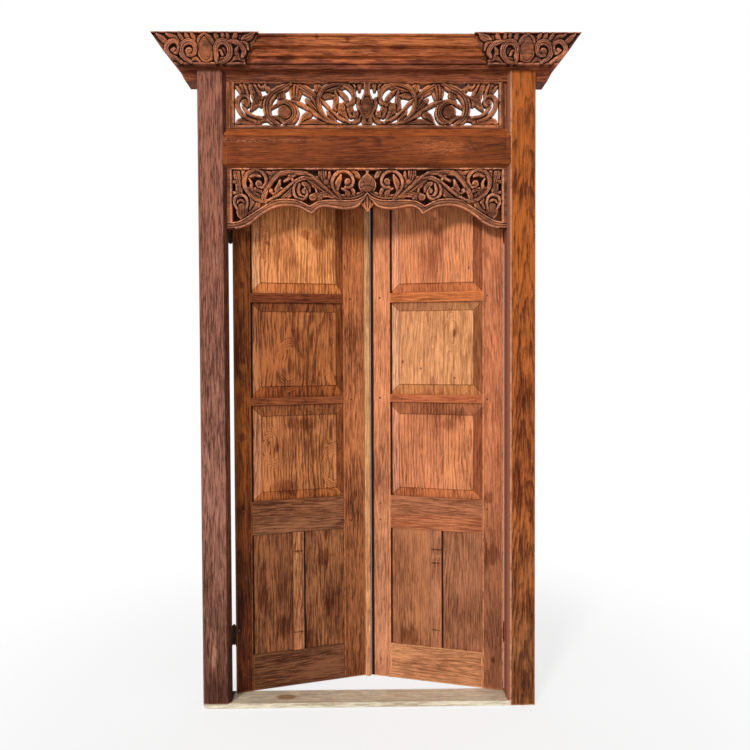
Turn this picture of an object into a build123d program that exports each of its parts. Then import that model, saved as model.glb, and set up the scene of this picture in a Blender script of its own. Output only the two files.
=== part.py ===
from build123d import *
from types import SimpleNamespace
import os

# Frame sizes in millimetres, x to the right, y to the back, z up
post_inner = 533
post_width = 105
post_outer = post_inner + post_width
front = -50
back = 50
arris = 12
sill_height = 20
sill_chamfer = 14
left_foot = 18
right_foot = 3
rail_bottom = 2070
rail_top = 2216
rail_front_top = 2186
beam_bottom = 2394
beam_top = 2547
lap_top = 2434
tenon_length = 60
tenon_half = 15
tenon_shoulder = 20
peg_radius = 4

# Openwork boards above the doorway, and how far their leaves lie below their stems
panel_front = -36
transom_back = -4
arch_back = -6
stile_width = 15
stile_recess = 12
board_border = 14
board_head = 4
arch_foot = 1800
arch_side = 18
arch_head = 6
leaf_drop = 6

# Carved ends of the cornice, which lean forward over its steps
rake_top = 794
rake_foot = 708
rake_foot_height = 2437
rake_end = 685
block_top_y = -121
block_foot_y = -87
block_foot = 2443
block_inner_top = 398
block_inner_foot = 456
block_drop = 3
block_relief = 13
block_strip = 9

# Leaves, with their own widths measured from the hinge edge
leaf_thickness = 26
leaf_front = 24
leaf_bottom = 22
leaf_top = 2066
ajar = 15.5
rebate_gap = 0.5
left_cut = -545
left_cut_front = -24
left_cut_top = 1838
right_cut = 541.5
field_face = 2
field_foot = 5.5
bevel_foot = 8.5
groove_face = 8.5
groove_back = 17.5
tongue = 8
groove_slack = 1
panel_back = 21
board_face = 6
board_back = 18
rail_tenon = 45
tenon_edge = 5
rail_names = (
    "top_rail", "upper_cross_rail", "lower_cross_rail", "lock_board_upper", "lock_board_lower", "bottom_rail")
panel_names = ("top_panel", "middle_panel", "lower_panel")
left = SimpleNamespace(
    name="left", edge=-532, way=1, stile=65, opening=438, width=527, field=(105, 409), muntin=(227, 271),
    rails=((1990, leaf_top), (1565, 1602), (1158, 1188), (706, 778), (644, 706), (leaf_bottom, 165)),
    fields=((1643, 1954), (1232, 1529), (813, 1114)), pin=(-538.5, 57), pegs=(30, 470))
right = SimpleNamespace(
    name="right", edge=539, way=-1, stile=81, opening=457, width=526.5, field=(116, 419), muntin=(246, 290),
    rails=((1990, leaf_top), (1569, 1607), (1163, 1194), (707, 778), (644, 707), (leaf_bottom, 165)),
    fields=((1643, 1954), (1235, 1533), (813, 1114)), pin=(540.25, 57), pegs=(62, 500))
lip_face = 2
meeting_gap = 1.3
strip_start = 526.6
strip_end = 553
strip_thickness = 13
strip_bevel = 6.5
strip_slope = 7.5
strip_edge = 3
strip_relief = 0.5
strip_leg = 3
bolt_along = 8.5
bolt_height = 270
bolt_radius = 6.5
bolt_rise = 3

# Butt hinges
hinge_heights = (244, 1836)
hinge_length = 76
plate = 2.5
plate_width = 22
barrel_radius = 6
pin_radius = 2.5
pin_head = 4
pin_fit = 0.05
knuckle_gap = 0.3
screw_head = 3.6
screw_shank = 2
screw_length = 18
screw_spread = 25


def block(x, y, z):
    """Box between two limits along each direction."""
    size = [abs(pair[1] - pair[0]) for pair in (x, y, z)]
    centre = [(pair[0] + pair[1]) / 2 for pair in (x, y, z)]
    return Pos(*centre) * Box(*size)


def along_x(section, x):
    """Section in y and z carried along x."""
    face = make_face(Polyline(*[(x[0], y, z) for y, z in section], close=True))
    return extrude(face, x[1] - x[0], dir=(1, 0, 0))


def along_y(outline, y):
    """Outline in x and z carried along y."""
    face = make_face(Polyline(*[(x, y[0], z) for x, z in outline], close=True))
    return extrude(face, y[1] - y[0], dir=(0, 1, 0))


def along_z(outline, z):
    """Outline in x and y carried upwards."""
    face = make_face(Polyline(*[(x, y, z[0]) for x, y in outline], close=True))
    return extrude(face, z[1] - z[0], dir=(0, 0, 1))


def rod(centre, direction, radius, length):
    """Round bar starting at a point."""
    return extrude(Plane(origin=centre, z_dir=direction) * Circle(radius), length)


def ribbon(widths, *points):
    """Carved band along a smooth line, its width eased from start through middle to end."""
    line = Spline(*points)
    first, middle, last = widths
    steps = 2 * len(points) - 2
    sides = ([], [])
    for step in range(steps + 1):
        t = step / steps
        half = (first * (1 - t) * (1 - 2 * t) + 4 * middle * t * (1 - t) + last * t * (2 * t - 1)) / 2
        across = (line % t).rotate(Axis.Z, 90) * half
        sides[0].append(line @ t + across)
        sides[1].append(line @ t - across)
    low, high = Spline(*sides[0]), Spline(*sides[1])
    return make_face([low, Line(low @ 1, high @ 1), high, Line(low @ 0, high @ 0)])


def crown(plane, rise, boss):
    """Boss rising to a smaller oval, its sides sloping as much as it rises."""
    x, z, rx, rz = boss
    foot = plane * Pos(x, z) * Ellipse(rx, rz)
    top = plane.offset(rise) * Pos(x, z) * Ellipse(rx - rise, rz - rise)
    return loft([foot, top])


def openwork(plane, thickness, border, leaves, stems, bosses, clip):
    """Pierced board with stems proud of its leaves and bosses with bevelled crowns."""
    low = thickness - leaf_drop
    carved = Sketch() + leaves + stems + [Pos(x, z) * Ellipse(rx, rz) for x, z, rx, rz in bosses]
    proud = Sketch() + stems
    ground = ((carved + mirror(carved, Plane.YZ)) & clip) + border
    raised = ((proud + mirror(proud, Plane.YZ)) & clip) + border
    crowns = [crown(plane.offset(low), leaf_drop, boss) for boss in bosses]
    crowns += [mirror(solid, Plane.YZ) for solid in crowns]
    return extrude(plane * ground, low) + [extrude(plane.offset(low) * raised, leaf_drop), *crowns]


def save(name, *shapes):
    """Write one named piece, or one group of like pieces."""
    solids = [solid for shape in shapes for solid in shape.solids()]
    piece = solids[0] if len(solids) == 1 else Compound(children=solids)
    piece.label = name
    export_step(piece, "parts/" + name + ".step")


transom_leaves = [
    ribbon((21, 23, 10), (412, 32), (453, 32), (484, 33), (497, 13)),
    ribbon((15, 17, 6), (468, 120), (477, 143), (498, 163)),
    ribbon((15, 18, 14), (466, 120), (471, 150), (480, 184)),
    ribbon((12, 13, 7), (456, 118), (457, 143), (468, 173)),
    ribbon((19, 23, 14), (413, 116), (432, 143), (443, 184)),
    ribbon((15, 17, 6), (407, 115), (415, 146), (430, 173)),
    ribbon((27, 21, 8), (417, 111), (428, 94), (442, 76)),
    ribbon((11, 34, 10), (434, 126), (417, 113), (404, 92)),
    ribbon((23, 14, 15), (419, 113), (396, 119), (369, 128)),
    ribbon((11, 13, 8), (364, 124), (371, 148), (386, 160), (403, 158), (411, 169)),
    ribbon((11, 11, 9), (379, 150), (386, 165), (384, 184)),
    ribbon((21, 19, 19), (442, 36), (410, 39), (381, 43), (359, 32), (340, 19)),
    ribbon((23, 32, 12), (337, 154), (329, 135), (327, 105)),
    ribbon((10, 9, 10), (368, 83), (347, 93), (324, 102)),
    ribbon((25, 19, 19), (363, 41), (336, 43), (306, 28)),
    ribbon((50, 46, 19), (265, 184), (271, 147), (273, 105)),
    ribbon((38, 29, 21), (278, 177), (244, 156), (211, 135), (179, 111)),
    ribbon((23, 31, 11), (181, 55), (209, 88), (230, 114)),
    ribbon((19, 25, 9), (181, 68), (195, 98), (211, 124)),
    ribbon((15, 27, 11), (211, 68), (235, 47), (253, 26)),
    ribbon((11, 25, 11), (257, 19), (204, 28), (139, 17)),
    ribbon((11, 27, 11), (188, 182), (187, 158), (173, 124)),
    ribbon((15, 33, 15), (169, 143), (131, 156), (82, 171)),
    ribbon((11, 19, 6), (177, 119), (150, 130), (122, 126)),
    ribbon((11, 18, 19), (120, 154), (118, 120), (121, 79)),
    ribbon((13, 16, 15), (112, 150), (93, 134), (79, 118), (74, 98)),
    ribbon((11, 25, 12), (148, 70), (138, 56), (122, 30)),
    ribbon((23, 25, 11), (101, 79), (90, 56), (75, 30)),
    ribbon((21, 25, 15), (82, 98), (66, 81), (61, 53)),
    ribbon((11, 16, 15), (61, 70), (42, 56), (38, 38), (56, 21)),
    ribbon((13, 14, 12), (117, 17), (71, 22), (35, 35), (20, 56)),
    ribbon((13, 18, 11), (52, 114), (35, 114), (29, 90), (18, 56)),
    ribbon((13, 10, 6), (57, 175), (46, 162), (46, 147)),
    ribbon((19, 15, 8), (28, 182), (29, 166), (29, 149)),
    ribbon((11, 12, 11), (0, 147), (14, 117), (21, 87), (15, 56), (8, 34)),
    ribbon((15, 19, 23), (18, 60), (12, 38), (1, 15)),
]
transom_stems = [
    ribbon((11, 14, 8), (423, 30), (457, 43), (483, 69), (494, 96), (489, 116), (473, 126), (456, 122),
            (447, 107)),
    ribbon((9, 12, 11), (470, 86), (453, 64), (432, 48), (400, 43)),
    ribbon((19, 27, 19), (344, 19), (368, 39), (379, 68), (378, 100), (364, 126), (343, 144),
            (318, 156), (290, 173)),
    ribbon((11, 24, 15), (336, 103), (309, 104), (286, 93), (274, 75), (273, 53), (287, 32), (312, 23)),
    ribbon((11, 13, 13), (336, 102), (302, 105), (271, 102), (241, 90), (211, 71), (181, 49), (151, 31),
            (113, 20)),
    ribbon((15, 17, 14), (117, 20), (158, 43), (179, 77), (183, 113), (172, 144), (148, 163),
            (116, 171), (83, 168), (60, 152), (49, 128), (55, 105), (73, 92)),
    ribbon((10, 10, 10), (180, 115), (160, 98), (139, 74), (114, 52), (90, 38), (65, 24)),
    ribbon((27, 19, 19), (-2, 184), (0, 154), (0, 132)),
]
transom_bosses = [
    (460, 101, 15, 15),
    (312, 66, 26, 26),
    (97, 84, 16, 16),
    (44, 58, 13, 13),
    (-1, 87, 24, 48),
]

arch_leaves = [
    ribbon((23, 28, 23), (502, 273), (495, 239), (488, 209), (490, 163)),
    ribbon((13, 12, 11), (523, 218), (508, 219), (495, 220)),
    ribbon((13, 12, 11), (523, 179), (505, 177), (489, 175)),
    ribbon((14, 14, 11), (473, 273), (472, 247), (472, 216)),
    ribbon((11, 23, 8), (447, 239), (428, 252), (407, 239)),
    ribbon((7, 13, 19), (450, 231), (441, 213), (442, 194), (429, 171)),
    ribbon((15, 31, 15), (451, 192), (429, 175), (406, 146)),
    ribbon((15, 25, 11), (436, 186), (415, 186), (402, 178)),
    ribbon((11, 27, 27), (398, 262), (360, 246), (314, 258), (242, 258)),
    ribbon((19, 25, 11), (341, 261), (360, 243), (375, 220)),
    ribbon((11, 13, 8), (259, 210), (264, 186), (253, 165), (239, 163)),
    ribbon((15, 23, 8), (246, 214), (231, 206), (220, 182)),
    ribbon((31, 21, 8), (347, 157), (344, 186), (332, 225)),
    ribbon((14, 13, 15), (370, 185), (357, 175), (342, 167)),
    ribbon((11, 19, 15), (319, 184), (332, 191), (345, 182)),
    ribbon((19, 14, 8), (277, 250), (299, 231), (317, 220)),
    ribbon((14, 11, 10), (296, 243), (287, 229), (279, 218)),
    ribbon((19, 29, 15), (277, 205), (300, 176), (330, 152)),
    ribbon((15, 33, 15), (231, 229), (197, 209), (163, 184), (129, 161)),
    ribbon((31, 27, 23), (156, 176), (178, 172), (207, 161)),
    ribbon((8, 13, 23), (196, 190), (192, 178), (186, 163)),
    ribbon((27, 23, 23), (182, 171), (184, 156), (186, 140)),
    ribbon((29, 31, 15), (170, 273), (171, 242), (161, 212), (136, 182)),
    ribbon((10, 15, 15), (192, 236), (182, 222), (163, 208)),
    ribbon((10, 15, 15), (144, 254), (145, 235), (155, 212)),
    ribbon((21, 27, 19), (154, 218), (136, 195), (110, 162)),
    ribbon((15, 21, 8), (119, 186), (114, 210), (100, 244)),
    ribbon((7, 21, 27), (98, 193), (79, 186), (73, 165), (64, 140)),
    ribbon((11, 15, 15), (83, 199), (58, 189), (49, 164)),
    ribbon((11, 23, 10), (68, 267), (49, 254), (30, 235)),
    ribbon((27, 46, 27), (118, 159), (80, 149), (42, 153), (1, 176)),
    ribbon((34, 15, 15), (-2, 276), (-2, 257), (-2, 239)),
    ribbon((8, 15, 11), (497, 135), (487, 148), (472, 143), (461, 133)),
    ribbon((15, 18, 13), (446, 169), (439, 142), (448, 116)),
    ribbon((15, 23, 23), (412, 144), (426, 118), (450, 97)),
]
arch_stems = [
    ribbon((13, 15, 11), (357, 147), (399, 145), (429, 156), (454, 179), (468, 207), (465, 234),
            (449, 254), (426, 264), (402, 256), (387, 237), (385, 215), (398, 198), (414, 200)),
    ribbon((18, 16, 15), (399, 148), (389, 177), (374, 206), (351, 235), (324, 254), (292, 261)),
    ribbon((19, 14, 14), (307, 259), (246, 252), (218, 240), (189, 220), (159, 193), (129, 167), (99, 146)),
    ribbon((13, 12, 12), (384, 141), (349, 161), (319, 184), (288, 209), (262, 227), (235, 235),
            (205, 230)),
    ribbon((11, 11, 8), (205, 230), (239, 230), (267, 218), (281, 192), (276, 165), (256, 152),
            (237, 158), (229, 176), (237, 192)),
    ribbon((13, 12, 11), (102, 154), (127, 186), (135, 214), (126, 240), (103, 258), (78, 257),
            (59, 240), (54, 216), (66, 198), (83, 196)),
    ribbon((10, 11, 10), (492, 112), (506, 136), (502, 158), (482, 168), (463, 160), (457, 139),
            (460, 116)),
]
arch_bosses = [
    (413, 210, 13, 14),
    (241, 183, 10, 10),
    (75, 217, 12, 15),
    (367, 184, 9, 9),
    (207, 160, 16, 13),
    (158, 216, 12, 12),
    (476, 107, 23, 31),
    (-1, 210, 34, 40),
]

corner_leaves = [
    ribbon((11, 17, 7), (691, 1), (705, 8), (719, 16)),
    ribbon((11, 22, 11), (685, 70), (705, 88), (733, 101)),
    ribbon((11, 22, 11), (729, 67), (749, 83), (769, 101)),
    ribbon((11, 19, 11), (652, 7), (637, 18), (619, 7)),
    ribbon((11, 19, 11), (670, 73), (683, 90), (690, 107)),
    ribbon((11, 19, 11), (648, 74), (659, 90), (665, 107)),
    ribbon((11, 19, 15), (631, 60), (636, 87), (643, 107)),
    ribbon((11, 19, 11), (623, 64), (616, 84), (597, 102)),
    ribbon((15, 24, 15), (558, 60), (576, 82), (595, 105)),
    ribbon((11, 13, 11), (559, 37), (543, 45), (534, 30)),
    ribbon((11, 19, 11), (528, 20), (539, 14), (551, 1)),
    ribbon((11, 19, 15), (547, 72), (552, 90), (556, 107)),
    ribbon((11, 17, 15), (529, 77), (528, 94), (530, 107)),
    ribbon((11, 17, 15), (510, 64), (512, 87), (512, 107)),
    ribbon((11, 19, 7), (472, 18), (484, 40), (474, 59)),
    ribbon((11, 19, 19), (507, 3), (482, 21), (460, 10)),
    ribbon((11, 19, 11), (462, 74), (447, 69), (439, 50)),
    ribbon((15, 30, 15), (457, 84), (437, 92), (416, 105)),
    ribbon((11, 19, 15), (494, 78), (484, 94), (481, 107)),
]
corner_stems = [
    ribbon((13, 15, 9), (687, 3), (708, 18), (729, 31), (739, 50), (729, 69), (710, 77), (694, 68),
            (693, 50), (706, 36), (719, 45)),
    ribbon((13, 19, 11), (652, 4), (675, 20), (685, 41), (678, 63), (657, 75), (637, 68), (632, 49),
            (643, 30), (661, 28)),
    ribbon((13, 19, 15), (555, 3), (557, 28), (557, 54), (544, 72), (522, 74), (507, 57), (506, 33),
            (521, 12), (544, 1)),
    ribbon((11, 16, 11), (509, 74), (487, 74), (464, 62), (453, 42), (461, 23)),
]
corner_bosses = [
    (596, 48, 29, 46),
    (656, 40, 16, 16),
    (711, 45, 10, 10),
]

# Posts with a chamfered arris and a rebate for the leaf
posts = {}
for side, foot in ((left, left_foot), (right, right_foot)):
    way = -side.way
    inner, outer = way * post_inner, way * post_outer
    post = block((inner, outer), (front, back), (foot, beam_bottom))
    post += block((inner, outer), (front, panel_front), (beam_bottom, lap_top))
    head_tenon = (inner + way * tenon_shoulder, outer - way * tenon_shoulder)
    post += block(head_tenon, (-tenon_half, tenon_half), (beam_bottom, beam_bottom + tenon_length))
    corner = [(inner, front), (inner + way * arris, front), (inner, front + arris)]
    post -= along_z(corner, (foot, lap_top))
    posts[side.name] = post
rebate = (leaf_front - rebate_gap, back)
posts["left"] -= block((left_cut, -post_inner), rebate, (sill_height, rail_bottom))
posts["left"] -= block((left_cut, -post_inner), (left_cut_front, rebate[0]), (sill_height, left_cut_top))
posts["right"] -= block((post_inner, right_cut), rebate, (sill_height, rail_bottom))

# Sill with housings for the feet
sill = block((-post_outer, post_outer), (front, back), (0, sill_height))
sill_corner = [(-post_outer, 0), (-post_outer + sill_chamfer, 0), (-post_outer, sill_chamfer / 2)]
sill -= along_y(sill_corner, (front, back))
sill -= [posts["left"], posts["right"]]

# Head beam with the cornice moulding and raked ends
cornice = [
    (back, beam_bottom), (panel_front, beam_bottom), (panel_front, 2422), (-40, 2427), (-48, 2430),
    (-58, 2431), (-58, 2447), (-54, 2447), (-54, 2450), (-64, 2450), (-64, 2473), (-78, 2473),
    (-78, 2504), (-92, 2504), (-92, 2538), (-98, 2538), (-98, beam_top), (back, beam_top),
]
beam_outline = [
    (-rake_end, beam_bottom), (rake_end, beam_bottom), (rake_foot, rake_foot_height), (rake_top, beam_top),
    (-rake_top, beam_top), (-rake_foot, rake_foot_height),
]
beam = along_x(cornice, (-rake_top, rake_top)) & along_y(beam_outline, (block_top_y, back))
mortised = block((-post_outer, post_outer), (-tenon_half, tenon_half), (beam_bottom, beam_top))
for name in posts:
    beam -= posts[name].intersect(mortised)
    posts[name] -= beam

# Mid rail scribed over the arrises, tenoned and pegged from the back
rail_section = [
    (front, rail_bottom + arris), (front + arris, rail_bottom), (back, rail_bottom), (back, rail_top),
    (panel_front, rail_top), (front, rail_front_top),
]
mid_rail = along_x(rail_section, (-post_inner - arris, post_inner + arris)) - [posts["left"], posts["right"]]
frame_pegs = []
for name, way in (("left", -1), ("right", 1)):
    reach = (way * post_inner, way * (post_inner + tenon_length))
    tenon_height = (rail_bottom + tenon_shoulder, rail_top - tenon_shoulder)
    tenon_block = block(reach, (-tenon_half, tenon_half), tenon_height)
    mid_rail += tenon_block
    posts[name] -= tenon_block
    for height in (tenon_height[0] + tenon_shoulder, tenon_height[1] - tenon_shoulder):
        at = (way * (post_inner + tenon_length / 2), -tenon_half, height)
        frame_pegs.append(rod(at, (0, 1, 0), peg_radius, back + tenon_half))
    mid_rail -= frame_pegs[-2:]
    posts[name] -= frame_pegs[-2:]

# Openwork above the mid rail, between its two stiles
upright = (rail_top, beam_bottom)
stile_left = block((-post_inner, -post_inner + stile_width), (panel_front, transom_back), upright)
stile_right_depth = (panel_front + stile_recess, transom_back)
stile_right = block((post_inner - stile_width, post_inner), stile_right_depth, upright)
half_width = post_inner - stile_width
height = beam_bottom - rail_top
opening_height = height - board_border - board_head
opening_width = 2 * (half_width - board_border)
opening = Pos(0, board_border + opening_height / 2) * Rectangle(opening_width, opening_height)
board = Pos(0, height / 2) * Rectangle(2 * half_width, height)
transom_plane = Plane(origin=(0, transom_back, rail_top), x_dir=(1, 0, 0), z_dir=(0, -1, 0))
transom = openwork(
    transom_plane, transom_back - panel_front, board - opening,
    transom_leaves, transom_stems, transom_bosses, opening)

# Openwork arch with a scalloped foot and a hanging bud
top = rail_bottom - arch_foot
head = top - arch_head
room = post_inner - arch_side


def half_arch(lobes, corner, height):
    """Left half of a scalloped field, from its lobes up to a height."""
    apex = lobes[-1] @ 1
    rim = Polyline(apex, (0, height), (-corner, height), lobes[0] @ 0)
    return make_face([*lobes, *rim.edges()])


outer_half = half_arch([
    Spline((-post_inner, 39), (-485, 44), (-446, 60), (-406, 92), (-360, 118), (-314, 128), (-261, 121),
           (-211, 95)),
    Spline((-211, 95), (-190, 117), (-163, 125), (-118, 118), (-78, 115), (-39, 124), (-12, 151), (0, 167)),
], post_inner, top)
inner_half = half_arch([
    Spline((-room, 64), (-487, 70), (-453, 88), (-418, 111), (-388, 130), (-362, 145), (-334, 152),
           (-300, 153), (-262, 147), (-219, 126)),
    Spline((-219, 126), (-200, 138), (-177, 146), (-131, 149), (-97, 147), (-50, 149), (-20, 160), (0, 178)),
], room, head)
arch_opening = inner_half + mirror(inner_half, Plane.YZ)
arch_border = (outer_half + mirror(outer_half, Plane.YZ)) - arch_opening
arch_plane = Plane(origin=(0, arch_back, arch_foot), x_dir=(1, 0, 0), z_dir=(0, -1, 0))
arch = openwork(
    arch_plane, arch_back - panel_front, arch_border, arch_leaves, arch_stems, arch_bosses, arch_opening)
hanging_bud = Sketch() + [
    ribbon((16, 30, 12), (0, 172), (0, 140), (0, 110)),
    ribbon((12, 16, 8), (-22, 138), (0, 126), (22, 138)),
]
arch += extrude(arch_plane * hanging_bud, arch_back - panel_front - leaf_drop)

# Carved ends of the cornice, cut to the steps behind them
slope = Vector(0, block_top_y - block_foot_y, beam_top - block_foot)
face_plane = Plane(origin=(0, block_foot_y, block_foot), x_dir=(1, 0, 0), z_dir=Vector(1, 0, 0).cross(slope))
stretch = slope.length / slope.Z
low_edge = -block_drop * stretch
rake_corner = (rake_foot, (rake_foot_height - block_foot) * stretch)
carved_outline = make_face(Polyline(
    (block_inner_foot, low_edge), (rake_foot, low_edge), rake_corner, (rake_top, slope.length),
    (block_inner_top, slope.length), close=True))
strip = Pos(rake_foot, low_edge + block_strip / 2) * Rectangle(rake_top, block_strip)
ovals = [Pos(x, z) * Ellipse(rx, rz) for x, z, rx, rz in corner_bosses]
ground_plane = face_plane.offset(-block_relief)
low_relief = (Sketch() + corner_leaves + corner_stems + ovals + strip) & carved_outline
high_relief = (Sketch() + corner_stems) & carved_outline
crown_plane = face_plane.offset(-leaf_drop)
crowns = [crown(crown_plane, leaf_drop, boss) for boss in corner_bosses]
corner = extrude(ground_plane * carved_outline, 2 * front)
corner += extrude(ground_plane * low_relief, block_relief - leaf_drop)
corner += [extrude(crown_plane * high_relief, leaf_drop), *crowns]
corner = (corner & block((0, rake_top), (2 * block_top_y, front), (0, beam_top))) - beam


def member(side, along, depth, height):
    """Box on a shut leaf, measured from its hinge edge, its front face and the ground."""
    x = [side.edge + side.way * value for value in along]
    return block(x, [leaf_front + value for value in depth], height)


def grown(pair, amount):
    """Limits moved outwards by an amount."""
    return (pair[0] - amount, pair[1] + amount)


def joined(side, along, height, growth):
    """Tongue or tenon at mid thickness, grown past its piece."""
    return member(side, grown(along, growth), (groove_face, groove_back), grown(height, growth))


def raised_panel(side, height, field_height):
    """Panel with a raised field and bevels sinking to the tongue."""
    along = (side.stile, side.opening)
    panel = joined(side, along, height, tongue) + member(side, along, (groove_face, panel_back), height)
    rims = []
    for s, z, depth in ((along, height, bevel_foot), (side.field, field_height, field_foot)):
        x = [side.edge + side.way * value for value in s]
        y = leaf_front + depth
        corners = [(x[0], y, z[0]), (x[1], y, z[0]), (x[1], y, z[1]), (x[0], y, z[1])]
        rims.append(make_face(Polyline(*corners, close=True)))
    return panel + loft(rims, ruled=True) + member(side, side.field, (field_face, field_foot), field_height)


def build_leaf(side):
    """All wooden pieces of one shut leaf by name."""
    full = (0, leaf_thickness)
    height = (leaf_bottom, leaf_top)
    along = (side.stile, side.opening)
    inside = (groove_face, groove_back)
    pieces = {
        "hinge_stile": member(side, (0, side.stile), full, height),
        "meeting_stile": member(side, (side.opening, side.width), full, height),
    }
    pegs = []
    for name, rail in zip(rail_names, side.rails):
        narrowed = grown(rail, -tenon_edge)
        pieces[name] = member(side, along, full, rail)
        pieces[name] += member(side, grown(along, rail_tenon), inside, narrowed)
        socket = member(side, grown(along, rail_tenon + groove_slack), inside, narrowed)
        for s in side.pegs:
            at = (side.edge + side.way * s, leaf_front, (rail[0] + rail[1]) / 2)
            pegs.append(rod(at, (0, 1, 0), peg_radius, leaf_thickness))
            pieces[name] -= pegs[-1]
        for stile in ("hinge_stile", "meeting_stile"):
            pieces[stile] = pieces[stile] - socket - pegs[-2:]
    muntin_height = (side.rails[5][1], side.rails[4][0])
    muntin_tenon = grown(muntin_height, rail_tenon / 2)
    pieces["muntin"] = member(side, side.muntin, full, muntin_height)
    pieces["muntin"] += member(side, grown(side.muntin, -tenon_edge), inside, muntin_tenon)
    muntin_socket = grown(muntin_tenon, groove_slack)
    for name in rail_names[4:]:
        pieces[name] -= member(side, grown(side.muntin, -tenon_edge), inside, muntin_socket)
    filled = {}
    for index, name in enumerate(panel_names):
        gap = (side.rails[index + 1][1], side.rails[index][0])
        filled[name] = raised_panel(side, gap, side.fields[index])
        groove = joined(side, along, gap, tongue + groove_slack)
        for neighbour in ("hinge_stile", "meeting_stile", rail_names[index], rail_names[index + 1]):
            pieces[neighbour] -= groove
    for name, s in (("lower_board_hinge", (side.stile, side.muntin[0])),
                    ("lower_board_meeting", (side.muntin[1], side.opening))):
        filled[name] = member(side, s, (board_face, board_back), muntin_height)
        filled[name] += joined(side, s, muntin_height, tongue)
        groove = joined(side, s, muntin_height, tongue + groove_slack)
        for neighbour in ("hinge_stile", "meeting_stile", "muntin", *rail_names[4:]):
            pieces[neighbour] -= groove
        filled[name] -= pieces["muntin"]
    pieces.update(filled)
    pieces["pegs"] = pegs
    return pieces


leaves = {side.name: build_leaf(side) for side in (left, right)}

# Meeting edges, where a lip on the right leaf shuts against the cover strip round the left one's edge
whole = (leaf_bottom, leaf_top)
leg_end = left.width + strip_leg
lip_end = right.edge - (left.edge + leg_end + meeting_gap)
leaves["right"]["meeting_stile"] += member(right, (right.width, lip_end), (lip_face, leaf_thickness), whole)
strip_profile = [
    (strip_start, 0), (strip_start, -strip_bevel), (strip_start + strip_bevel, -strip_thickness),
    (strip_end - strip_slope, -strip_thickness), (strip_end, -strip_edge), (strip_end, -strip_relief),
    (leg_end, -strip_relief), (leg_end, leaf_thickness), (left.width, leaf_thickness), (left.width, 0),
]
leaves["left"]["astragal"] = along_z([(left.edge + s, leaf_front + d) for s, d in strip_profile], whole)
bolt_at = (left.edge + bolt_along, leaf_front, bolt_height)
bolt_shank = rod(bolt_at, (0, 1, 0), screw_shank, leaf_thickness / 2)
bolt_dome = extrude(Plane(origin=bolt_at, z_dir=(0, -1, 0)) * Circle(bolt_radius), bolt_rise, taper=40)
leaves["left"]["hinge_bolt"] = bolt_dome + bolt_shank
leaves["left"]["hinge_stile"] -= bolt_shank


def plate_screws(x, way, height):
    """Three countersunk screws driven from a plate face into the wood."""
    screws = []
    for step in (-1, 0, 1):
        y = back - plate_width / 2 + 4 * (step % 2) - 2
        at = (x, y, height + step * screw_spread)
        head = rod(at, (way, 0, 0), screw_head, plate)
        screws.append(head + rod(at, (way, 0, 0), screw_shank, screw_length))
    return screws


def butt_hinge(side, height, frame_face, leaf_face):
    """Frame plate, leaf plate, pin and screws of one hinge, its plates lying against the given faces."""
    x, y = side.pin
    way = -side.way
    ends = (height - hinge_length / 2, height + hinge_length / 2)
    third = hinge_length / 3
    middle = (ends[0] + third + knuckle_gap / 2, ends[1] - third - knuckle_gap / 2)
    outer_knuckles = ((ends[0], middle[0] - knuckle_gap), (middle[1] + knuckle_gap, ends[1]))
    plates = []
    halves = ((frame_face, way * plate, outer_knuckles), (leaf_face, -way * plate, (middle,)))
    for face, depth, spans in halves:
        solid = block((face, face + depth), (back - plate_width, back), ends)
        for span in spans:
            solid += block((face, face + depth), (back, y), span)
            solid += rod((x, y, span[0]), (0, 0, 1), barrel_radius, span[1] - span[0])
        plates.append(solid)
    shaft = rod((x, y, ends[0]), (0, 0, 1), pin_radius, hinge_length)
    bore = rod((x, y, ends[0]), (0, 0, 1), pin_radius + pin_fit, hinge_length)
    pin = shaft + rod((x, y, ends[0]), (0, 0, -1), pin_head, plate)
    pin += rod((x, y, ends[1]), (0, 0, 1), pin_head, plate)
    frame_screws = plate_screws(frame_face, way, height)
    leaf_screws = plate_screws(leaf_face, -way, height)
    return plates[0] - shaft - frame_screws, plates[1] - bore - leaf_screws, pin, frame_screws, leaf_screws


hinge_sets = {}
for side in (left, right):
    fittings = SimpleNamespace(frame_plates=[], leaf_plates=[], pins=[], frame_screws=[], leaf_screws=[])
    post = posts[side.name]
    stile = leaves[side.name]["hinge_stile"]
    faces = (left_cut + plate, left.edge - plate) if side is left else (right_cut, right.edge)
    for height in hinge_heights:
        frame_plate, leaf_plate, pin, frame_screws, leaf_screws = butt_hinge(side, height, *faces)
        fittings.frame_plates.append(frame_plate)
        fittings.leaf_plates.append(leaf_plate)
        fittings.pins.append(pin)
        fittings.frame_screws += frame_screws
        fittings.leaf_screws += leaf_screws
    posts[side.name] = post - fittings.frame_plates - fittings.frame_screws
    leaves[side.name]["hinge_stile"] = stile - fittings.leaf_plates - fittings.leaf_screws
    leaves[side.name]["hinge_plates"] = fittings.leaf_plates
    leaves[side.name]["hinge_screws"] = fittings.leaf_screws
    hinge_sets[side.name] = fittings

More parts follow.
